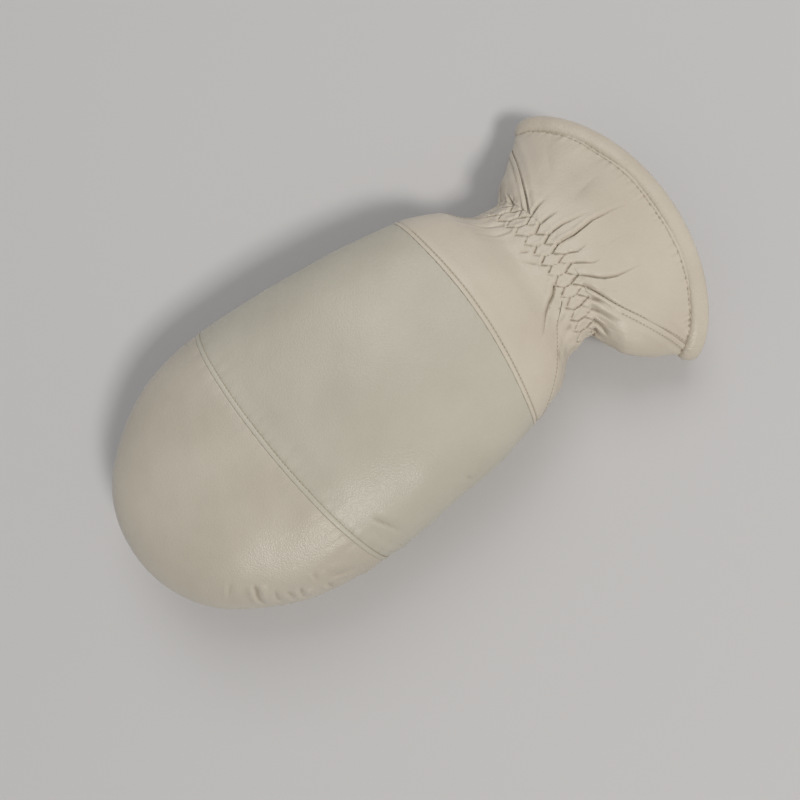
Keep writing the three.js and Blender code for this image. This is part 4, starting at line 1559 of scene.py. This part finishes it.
@dataclass
class Cuff:
    """The flared cuff: a back panel, two palm panels and a rolled binding round the edge."""

    finishes: Finishes
    edge: float = 0.42
    lumps: Hills = Hills(SEED + 50, 16, 46)
    reach: float = 48.0
    flat_row: float = 0.6
    folded_row: float = 3.2
    hem_stitch_line: float = 3.5
    binding_start: float = -2.7
    binding_length: float = 9.1
    binding_thickness: float = 4.9
    pucker_pitch: float = 3.4

    def back_creases(self) -> list[Crease]:
        """The folds on the back panel. Most run on from a tooth of the elastic's row."""
        folds = (
            (1, 1.1, 0.32, ((1.15, 68.0), (1.3, 67.6), (1.44, 68.0), (1.66, 68.5))),
            (2, 0.8, 0.3, ((1.11, 78.0), (1.18, 77.6), (1.3, 79.5))),
            (3, 1.0, 0.3, ((1.11, 86.0), (1.26, 90.0))),
            (4, 1.7, 0.36, ((1.1, 95.5), (1.24, 96.6), (1.38, 97.5), (1.6, 95.8), (1.85, 92.0))),
            (5, 1.15, 0.32, ((1.08, 104.3), (1.16, 104.5), (1.3, 103.0), (1.5, 101.0))),
            (6, 1.0, 0.32, ((1.1, 113.4), (1.26, 111.8))),
            (7, 1.1, 0.34, ((1.1, 124.0), (1.24, 122.5))),
        )
        creases = self.from_teeth(folds)
        soft = (
            ((1.05, 63.5), (1.2, 60.0), (1.4, 52.0), (1.58, 45.0)),
            ((1.3, 84.0), (1.5, 84.0), (1.7, 82.0)),
            ((1.35, 112.0), (1.6, 113.0), (1.85, 112.0)),
            ((1.4, 128.0), (1.65, 140.0), (1.85, 150.0)),
        )
        return creases + [Crease(route, 0.4, 1.3, 0.3, 0.0, fades_in=0.4) for route in soft]

    def from_teeth(self, folds: Sequence[tuple], turned: float = 0.0) -> list[Crease]:
        """Folds that run on from the elastic's teeth.

        Args:
            folds: rows of the tooth, the depth, the width and the rest of the route.
            turned: how far round the teeth are counted on, in degrees.

        Returns:
            The folds.
        """
        creases = []
        for tooth, depth, width, route in folds:
            start = (SHIRRING.cuff_corner, float(SHIRRING.turn(tooth)) + turned)
            creases.append(Crease((start, *route), depth, width, 0.35, 0.5))
        return creases

    def seam_creases(self) -> list[Crease]:
        """The folds that run out along the two seams that show, on the panels at both their sides."""
        folds = (
            (0, 1.3, 0.4, ((1.06, 57.2), (1.18, 51.4), (1.34, 43.8))),
            (7, 0.85, 0.45, ((1.05, 130.8), (1.15, 138.2), (1.3, 149.4), (1.46, 161.0))),
        )
        return self.from_teeth(folds)

    def far_creases(self) -> list[Crease]:
        """The folds on the far palm panel: dense ones that show beside the seam, and pleats underneath."""
        folds = (
            (8, 0.9, 0.4, ((1.04, 137.5), (1.1, 142.0))),
            (9, 1.5, 0.45, ((1.02, 150.0), (1.06, 155.0), (1.12, 162.0))),
            (9, 1.0, 0.4, ((1.03, 148.5), (1.12, 149.0))),
            (10, 1.1, 0.4, ((1.04, 161.0), (1.1, 166.0))),
            (11, 1.7, 0.45, ((1.03, 173.5), (1.13, 176.0), (1.25, 176.5))),
            (12, 1.9, 0.6, ((1.05, 192.0), (1.2, 194.5))),
        )
        return self.from_teeth(folds) + self.pleats(Seam.FAR, Seam.PALM, (200, 272), SEED + 70, 1.8)

    def thumb_creases(self) -> list[Crease]:
        """The folds on the thumb side's palm panel: soft ones that fan out in view, and pleats underneath."""
        folds = (
            (-1, 1.0, 0.45, ((1.07, 408.6), (1.18, 403.5))),
            (-2, 1.0, 0.6, ((1.06, 397.8), (1.17, 395.0))),
            (-3, 1.7, 0.5, ((1.03, 383.2), (1.08, 377.5), (1.12, 371.0))),
            (-4, 1.9, 0.6, ((1.01, 367.5), (1.05, 360.0))),
        )
        loose = (
            Crease(((1.0, 395.5), (1.06, 391.0), (1.12, 388.3)), 0.6, 0.4, 0.4, 0.4, 0.3),
            Crease(((0.93, 366.0), (0.99, 361.5), (1.03, 359.0)), 1.5, 1.2, 0.3, 0.2, 0.3, 0.4),
        )
        under = self.pleats(Seam.PALM, Seam.THUMB_AGAIN, (277, 358), SEED + 71, 1.7)
        return [*self.from_teeth(folds, 360.0), *loose, *under]

    def pleats(
        self, start: Seam, end: Seam, span: tuple[float, float], seed: int, deepest: float
    ) -> list[Crease]:
        """Folds that run out from the elastic's teeth in a span of turns between two seams, short and long."""
        random = np.random.default_rng(seed)
        first, last = start.value[0] + 2, end.value[0] - 2
        teeth = np.arange(SHIRRING.count * 2)
        turns = SHIRRING.turn(teeth)
        creases = []
        for tooth in teeth[(turns > span[0]) & (turns < span[1])]:
            turn = float(SHIRRING.turn(tooth))
            middle = (turn - first) / (last - first)
            drift = (start.value[1] - start.value[0]) * (1 - middle) + (end.value[1] - end.value[0]) * middle
            length = float(random.choice([0.18, 0.28, 0.42, 0.6], p=[0.2, 0.35, 0.25, 0.2]))
            bend = random.uniform(-2.5, 2.5)
            route = (
                (SHIRRING.cuff_corner, turn),
                (1 + length / 2, turn + drift * length / 2 + bend),
                (1 + length, turn + drift * length),
            )
            depth = deepest * random.uniform(0.5, 1)
            creases.append(Crease(route, depth, random.uniform(0.32, 0.5), 0.45, 0.5, fades_out=0.85))
        return creases

    def panel(self, start: Seam, end: Seam, creases: Sequence[Crease], name: str, step: float) -> Piece:
        """One panel of the cuff.

        Args:
            start: the seam at its first side.
            end: the seam at its other side.
            creases: its folds.
            name: the piece's name.
            step: the spacing of its grid in millimetres.

        Returns:
            The piece.
        """
        along = 1 + np.linspace(0, 1, round(self.reach / step)) ** 1.08
        sides = (start.turn(along), end.turn(along))
        rows, near, far = rows_between(FORM.band, along, sides, step, 500)
        points = rows[..., :3]
        out = (along - 1)[:, None] * self.reach
        lift = 0.7 * self.lumps(points) * fade(out, 4, 20)
        lift += SHIRRING.risen(points, out) + 0.5 * drawn_in(rows[..., 3], out, 18.0) * fade(out, 0, 4)
        lift += self.seam_edge(near, raised=start is Seam.FAR or end is Seam.THUMB_AGAIN)
        lift += self.seam_edge(far, raised=end is Seam.THUMB_AGAIN)
        lift += creased(points, [*creases, *SHIRRING.creases()], FORM.band)
        hem = (2.0 - along)[:, None] * self.reach
        puckers = Ridges(SEED + 55, 340.0, self.pucker_pitch, 0.45)
        past = np.maximum(hem - self.hem_stitch_line, 0)
        outside = fade(hem, 2.2, self.hem_stitch_line)
        lift += 0.42 * (puckers(points[..., 1] + 100, past, 5.0) - 0.4 * bump(past, 0, 3.0)) * outside
        lift -= 0.4 * bump(hem, self.hem_stitch_line - 0.3, 0.6)
        patch = cloth_grid(points, lift)
        return shell([patch], name, (115, 2, 24), self.finishes.leather)

    def seam_edge(self, away: Array, raised: bool) -> Array:
        """The height beside one of the cuff's seams: folded and stitched, or flat against the fold."""
        strip = 0.35 * (1 - fade(away, 3.2, 4.0)) if raised else 0.0
        groove = 0.3 * bump(away, self.folded_row if raised else self.flat_row, 0.45)
        return strip - fold_drop(away, self.edge) - groove + 0.3 * bump(away, 6.5, 2.4)

    def binding(self) -> Piece:
        """The rolled binding, puckered along its stitch line."""
        turns = np.linspace(0, 360, 721)
        sides = np.linspace(0, 360, 21)
        edge = FORM.band(2.0, turns, 0.8)
        out = unit(edge - FORM.band(1.9, turns, 0.8))
        round_hem = unit(FORM.band(2.0, turns + 0.5, 0.8) - FORM.band(2.0, turns - 0.5, 0.8))
        up = unit(np.cross(out, round_hem))
        run = run_along(edge)
        puckers = Ridges(SEED + 60, float(run[-1]), self.pucker_pitch, 0.3, closed=True)
        angle = np.radians(sides)[None]
        pucker = puckers(run, np.zeros_like(run), 10.0)[:, None] - 0.4
        inner = np.clip(np.cos(angle), 0, 1)
        swell = 1 + 0.07 * pucker * (0.1 + inner) + 0.05 * self.lumps(edge * 2.2)[:, None]
        reach = self.binding_length / 2 * (1 - np.cos(angle) * (1 - 0.05 * pucker * inner))
        lift = self.binding_thickness / 2 * power(np.sin(angle), 0.85) * swell
        outwards = out[:, None] * (self.binding_start + reach)[..., None]
        points = edge[:, None] + outwards + up[:, None] * lift[..., None]
        points[..., 2] = np.maximum(points[..., 2], 0)
        patch = cloth_grid(points, 0.4 * pucker * inner**3)
        piece = joined([patch], "hem_binding_leather")
        mark_creases(piece, rounds=8, depth=0.3)
        finish(piece, self.finishes.piping)
        return piece

    def creases(self) -> list[list[Crease]]:
        """The folds of the back panel, the far palm panel and the thumb side's."""
        own = (self.back_creases(), self.far_creases(), self.thumb_creases())
        return [folds + self.seam_creases() for folds in own]

    def build(self) -> dict[str, Piece]:
        """Builds and fits the cuff's four pieces."""
        made = {
            node: self.panel(start, end, folds, name, step)
            for (node, name, start, end, step), folds in zip(PANELS, self.creases())
        }
        made["hem_binding"] = self.binding()
        for node, piece in made.items():
            fit(piece, LEATHER_SLOT, node)
        return made


# The stitches


@dataclass
class Stitching:
    """Rows of stitches, each stitch a small rounded bar that sits in the leather."""

    finishes: Finishes
    length: float = 1.35
    pitch: float = 1.85
    radius: float = 0.2
    hem_line: float = 3.4
    free_end: float = 0.08
    template: tuple[Array, list] = field(init=False)

    def __post_init__(self) -> None:
        """Models one stitch, to be copied."""
        points, faces = ball(6, 5)
        self.template = (points[:, [2, 0, 1]], faces)

    def row(self, route: Array, cloth: Piece, name: str, pitch: float = 0.0, length: float = 0.0) -> None:
        """Sews one row along a route and fits it.

        Args:
            route: points in millimetres along the row, near the leather.
            cloth: the piece that the stitches sit in.
            name: the row's name.
            pitch: the spacing, or 0 for the usual one.
            length: a stitch's length, or 0 for the usual one.
        """
        run = run_along(route)
        count = max(2, round(run[-1] / (pitch or self.pitch)))
        middles = (np.arange(count) + 0.5) / count * run[-1]
        half = (length or self.length) / 2
        starts, ends = (
            np.stack([np.interp(middles + side * half, run, route[:, axis]) for axis in range(3)], axis=-1)
            for side in (-1, 1)
        )
        self.sew(starts, ends, cloth, name)

    def sew(self, starts: Array, ends: Array, cloth: Piece, name: str) -> None:
        """Sews stitches, laid on the leather, as one piece.

        Args:
            starts: points in millimetres, near the leather, from which the stitches run.
            ends: the points to which they run.
            cloth: the piece that they sit in.
            name: the row's name.
        """
        tree = BVHTree.FromObject(cloth, bpy.context.evaluated_depsgraph_get())
        points, faces = self.template
        places, normals = [], []
        for corner in (starts, ends):
            hits = [tree.find_nearest(Vector(p * MM)) for p in corner]
            places.append(np.array([hit[0] for hit in hits]) / MM)
            normals.append(np.array([hit[1] for hit in hits]))
        up = unit(normals[0] + normals[1])
        forward = places[1] - places[0]
        half = np.linalg.norm(forward, axis=-1) / 2
        forward = unit(forward)
        aside = unit(np.cross(up, forward))
        up = np.cross(forward, aside)
        middle = (places[0] + places[1]) / 2 + up * self.radius * 0.35
        copies = (
            middle[:, None]
            + forward[:, None] * points[None, :, :1] * half[:, None, None]
            + aside[:, None] * points[None, :, 1:2] * self.radius
            + up[:, None] * points[None, :, 2:] * self.radius
        )
        piece = repeated(name, copies, faces)
        finish(piece, self.finishes.thread)
        fit(piece, LEATHER_SLOT)

    def build(self, hand: dict[str, Piece], wrist: Piece, cuff: dict) -> None:
        """Sews every row that shows."""
        turns = np.linspace(-84, 264, 400)
        self.row(FORM.back(FORM.tip + 2.2, turns), hand["knuckle_panel"], "first_seam_stitches")
        start = float(FORM.side_seam("thumb", FORM.second_seam)) + 2
        end = float(FORM.side_seam("far", FORM.second_seam)) - 2
        turns = np.linspace(start, end, 400)
        self.row(FORM.back(FORM.second_seam + 2.1, turns), hand["wrist_panel"], "second_seam_stitches")
        for side, inward in (("thumb", 2.4), ("far", -2.4)):
            at = np.linspace(FORM.second_seam + 3, FORM.hand_end - 1.5, 120)
            turns = FORM.side_seam(side, at) + inward
            self.row(FORM.back(at, turns), hand["wrist_panel"], f"{side}_side_seam_stitches")
        self.cuff_rows(cuff)
        self.zigzags(wrist)

    def cuff_rows(self, cuff: dict[str, Piece]) -> None:
        """The twin rows beside each of the cuff's seams, and the row along the binding."""
        beside = {
            Seam.THUMB: (("cuff_back", Cuff.flat_row), ("cuff_palm_thumb_side", -Cuff.folded_row)),
            Seam.FAR: (("cuff_back", -Cuff.flat_row), ("cuff_palm_far_side", Cuff.folded_row)),
            Seam.PALM: (("cuff_palm_far_side", -Cuff.flat_row), ("cuff_palm_thumb_side", Cuff.folded_row)),
        }
        along = np.linspace(1.04, 1.96, 160)
        for seam, rows in beside.items():
            turns = seam.turn(along)
            line = FORM.band(along, turns)
            aside = unit(FORM.band(along, turns + 1) - FORM.band(along, turns - 1))
            for node, offset in rows:
                name = f"{seam.name.lower()}_seam_stitches_{node}"
                self.row(line + offset * aside, cuff[node], name)
        for node, _, start, end, _ in PANELS:
            turns = np.linspace(start.value[1] + 1, end.value[1] - 1, 300)
            edge = FORM.band(2.0, turns)
            inward = unit(FORM.band(1.96, turns) - edge)
            self.row(edge + self.hem_line * inward, cuff[node], f"hem_stitches_{node}", pitch=2.4, length=1.5)

    def zigzags(self, wrist: Piece) -> None:
        """The two zigzag rows over the elastic, one stitch to a leg."""
        for name, row in (("cuff_side", SHIRRING.cuff_row), ("hand_side", SHIRRING.hand_row)):
            corners = np.array([row(tooth) for tooth in range(SHIRRING.count)])
            points = FORM.band(corners[..., 0], corners[..., 1])
            legs = np.concatenate([points[:, :2], points[:, 1:]])
            starts = legs[:, 0] * (1 - self.free_end) + legs[:, 1] * self.free_end
            ends = legs[:, 0] * self.free_end + legs[:, 1] * (1 - self.free_end)
            self.sew(starts, ends, wrist, f"zigzag_stitches_{name}")


# The sheepskin


@dataclass(frozen=True)
class Locks:
    """How a layer of the fleece is made up, in millimetres."""

    count: int
    strands: int
    length: float
    radius: float
    spread: float
    sides: int
    rings: int
    to_mouth: float


@dataclass
class Fleece:
    """The lining: a soft backing inside the leather, and curled locks that show in the cuff's mouth."""

    finishes: Finishes
    core: Locks = Locks(1480, 1, 7.0, 1.6, 0.0, 5, 6, 0.95)
    curls: Locks = Locks(560, 5, 8.5, 0.46, 1.1, 3, 11, 1.5)
    middle: tuple[float, float] = (2.0, 30.0)
    tuck: float = 0.14
    tuck_at: float = 68.0
    tuck_reach: float = 14.0
    root_depth: float = 3.4

    def backing(self) -> Piece:
        """The backing, from its solid, with its fleece side lumpy."""
        piece = copied_node("fur_lining", "fur_lining_wool")
        apply_modifier(piece, "SUBSURF", levels=1, render_levels=1)
        points = read_points(piece) / MM
        tuck = self.tuck * bump(points[:, 0], self.tuck_at, self.tuck_reach)[:, None]
        points[:, 1:] += tuck * (np.array(self.middle) - points[:, 1:])
        write_points(piece, points * MM)
        hills = Hills(SEED + 80, 8, 14, 24)
        inner = fade(np.linalg.norm(points[:, 1:] - np.array(self.middle), axis=1), 60, 20)
        write_values(piece, "lift", 0.7 * hills(points) * inner)
        raise_detail(piece)
        write_values(piece, "lock", np.clip(0.25 + 0.25 * hills(points), 0, 1))
        finish(piece, self.finishes.fur)
        return piece

    def strand(self, sides: int, rings: int) -> tuple[Array, Array, list[list[int]]]:
        """One strand, modelled once: a ball, read as a thin body that is pointed at both ends.

        Args:
            sides: how many faces go round it.
            rings: how many lie along it.

        Returns:
            Each point's share along the strand, its place across it, and the faces.
        """
        points, faces = ball(sides, rings)
        along = 1 - np.arccos(np.clip(points[:, 2], -1, 1)) / math.pi
        across = points[:, :2] / np.maximum(np.linalg.norm(points[:, :2], axis=1, keepdims=True), 1e-6)
        return along, across * (np.abs(points[:, 2:]) < 0.999), faces

    def locks(self, name: str, seed: int, style: Locks) -> Piece:
        """Curled locks of strands: each starts on the backing and curls inwards and out to the mouth.

        Args:
            name: the piece's name.
            seed: its own seed.
            style: how many locks there are, and how they are made up.

        Returns:
            The piece.
        """
        random = np.random.default_rng(seed)
        t, across, faces = self.strand(style.sides, style.rings)
        shape = (style.count, style.strands)
        along = 1.96 - 1.02 * random.uniform(0, 1, (style.count, 1)) ** style.to_mouth
        turn = random.uniform(0, 360, (style.count, 1))
        along = np.clip(along + random.normal(0, style.spread / 40, shape), 0.9, 1.965).ravel()
        turn = (turn + random.normal(0, style.spread * 1.1, shape)).ravel()
        root = FORM.band(along, turn, self.root_depth)
        inward = unit(FORM.band(along, turn, 6.0) - FORM.band(along, turn, 2.0))
        out = unit(FORM.band(np.minimum(along + 0.02, 2), turn, 4.0) - FORM.band(along - 0.02, turn, 4.0))
        aside = np.cross(out, inward)

        def per_lock(values: Array, uneven: float) -> Array:
            """One value for each lock, a little different on each of its strands."""
            return (values[:, None] + random.normal(0, uneven, shape)).ravel()

        length = style.length * per_lock(random.uniform(0.7, 1.15, style.count), 0.07)
        lean = [per_lock(random.normal(0, 0.38, style.count), 0.09)[:, None] for _ in range(2)]
        curl = per_lock(random.uniform(1.1, 2.1, style.count), 0.15)[:, None]
        spin = per_lock(random.uniform(0, 2 * math.pi, style.count), 0.5)[:, None]
        twist = random.choice([-1.0, 1.0], style.count) * random.uniform(6, 11, style.count)
        wind = per_lock(twist, 0.3)[:, None]
        heading = unit(inward + (0.3 + lean[0]) * out + lean[1] * aside)
        side = unit(np.cross(heading, out))
        other = np.cross(heading, side)
        centre = root[:, None] + heading[:, None] * (length[:, None] * (t - 0.3 * t**1.5))[..., None]
        sway = curl * t**0.8
        angle = spin + wind * t
        centre = centre + side[:, None] * (sway * np.cos(angle))[..., None]
        centre = centre + other[:, None] * (sway * np.sin(angle))[..., None]
        radius = style.radius * (1 - 0.5 * t**2) * random.uniform(0.75, 1.25, len(root))[:, None]
        ring = side[:, None] * across[None, :, :1] + other[:, None] * across[None, :, 1:]
        points = centre + ring * radius[..., None]
        points[..., 2] = np.maximum(points[..., 2], 0.4)
        piece = repeated(name, points, faces)
        write_values(piece, "lock", np.tile(0.1 + 0.75 * t, len(root)))
        finish(piece, self.finishes.fur)
        return piece

    def build(self) -> None:
        """Builds and fits the lining."""
        fit(self.backing(), FUR_SLOT, "fur_lining", fill=0.7)
        fit(self.locks("fur_locks", SEED + 81, self.core), FUR_SLOT)
        fit(self.locks("fur_curls", SEED + 82, self.curls), FUR_SLOT)


# The room


class Shine(Enum):
    """What a light gives the mitten: its shading, a gleam or both."""

    SHADING = (True, False)
    GLEAM = (False, True)
    BOTH = (True, True)


@dataclass
class Studio:
    """The floor, the lights and the camera."""

    finishes: Finishes
    camera_place: tuple[float, float, float] = (10.62, -62.77, 442.77)
    forward: tuple[float, float, float] = (-0.0364, 0.1293, -0.9909)
    up: tuple[float, float, float] = (0.5701, 0.8171, 0.0857)
    aim: tuple[float, float, float] = (0.0, 0.0, 0.03)
    focal_px: float = 900.0
    frame_px: float = 800.0

    def camera(self) -> None:
        """The camera at the photograph's angle, above the floor."""
        data = bpy.data.cameras.new("camera")
        data.sensor_fit = "HORIZONTAL"
        data.angle = 2 * math.atan(self.frame_px / 2 / self.focal_px)
        data.clip_start = 0.01
        data.clip_end = 20
        camera = bpy.data.objects.new("camera", data)
        forward = Vector(self.forward).normalized()
        up = Vector(self.up)
        up = (up - forward * up.dot(forward)).normalized()
        right = forward.cross(up)
        turn = Matrix((right, up, -forward)).transposed().to_4x4()
        camera.matrix_world = Matrix.Translation(Vector(self.camera_place) * MM) @ turn
        bpy.context.scene.collection.objects.link(camera)
        bpy.context.scene.camera = camera

    def floor(self) -> None:
        """A wide flat floor with its far edges out of sight."""
        deselect()
        bpy.ops.mesh.primitive_plane_add(size=6)
        floor = bpy.context.object
        floor.name = "floor"
        floor.data.materials.append(self.finishes.floor)

    def area(self, name: str, place: tuple, size: float, power: float, colour: tuple, shine: Shine) -> None:
        """One square soft light that shines at the mitten.

        Args:
            name: its name.
            place: where it stands, in metres.
            size: its side in metres.
            power: its power in watts.
            colour: its colour.
            shine: what it gives the mitten.
        """
        data = bpy.data.lights.new(name, "AREA")
        data.shape = "SQUARE"
        data.size = size
        data.energy = power
        data.color = colour
        light = bpy.data.objects.new(name, data)
        light.visible_diffuse, light.visible_glossy = shine.value
        light.location = place
        light.rotation_euler = (Vector(self.aim) - Vector(place)).to_track_quat("-Z", "Y").to_euler()
        bpy.context.scene.collection.objects.link(light)

    def lights(self) -> None:
        """A soft key, a small lamp that puts a gleam on the fingertips, a fill and the room's own light."""
        self.area("key", (0.34, -1.43, 2.2), 0.5, 33.0, (1.0, 0.985, 0.955), Shine.SHADING)
        self.area("lamp", (-0.62, -1.45, 1.35), 0.2, 12.0, (1.0, 0.97, 0.93), Shine.GLEAM)
        self.area("window", (0.75, 1.2, 1.9), 1.5, 15.0, (0.97, 0.98, 1.0), Shine.BOTH)
        world = bpy.data.worlds.new("room")
        world.use_nodes = True
        background = world.node_tree.nodes["Background"]
        set_inputs(background, {"Color": (0.93, 0.94, 0.96, 1), "Strength": 0.3})
        bpy.context.scene.world = world
        bpy.context.scene.view_settings.view_transform = "Standard"

    def build(self) -> None:
        """Sets up the room."""
        self.camera()
        self.floor()
        self.lights()


def main() -> None:
    """Builds the mitten and the room, in order."""
    finishes = Finishes.build()
    Studio(finishes).build()
    hand = Hand(finishes)
    cuff = Cuff(finishes)
    hand_pieces = hand.build()
    band = Wrist(finishes).build(hand.wrist_creases(), sum(cuff.creases(), []))
    Stitching(finishes).build(hand_pieces, band, cuff.build())
    Fleece(finishes).build()


if __name__ == "__main__":
    main()
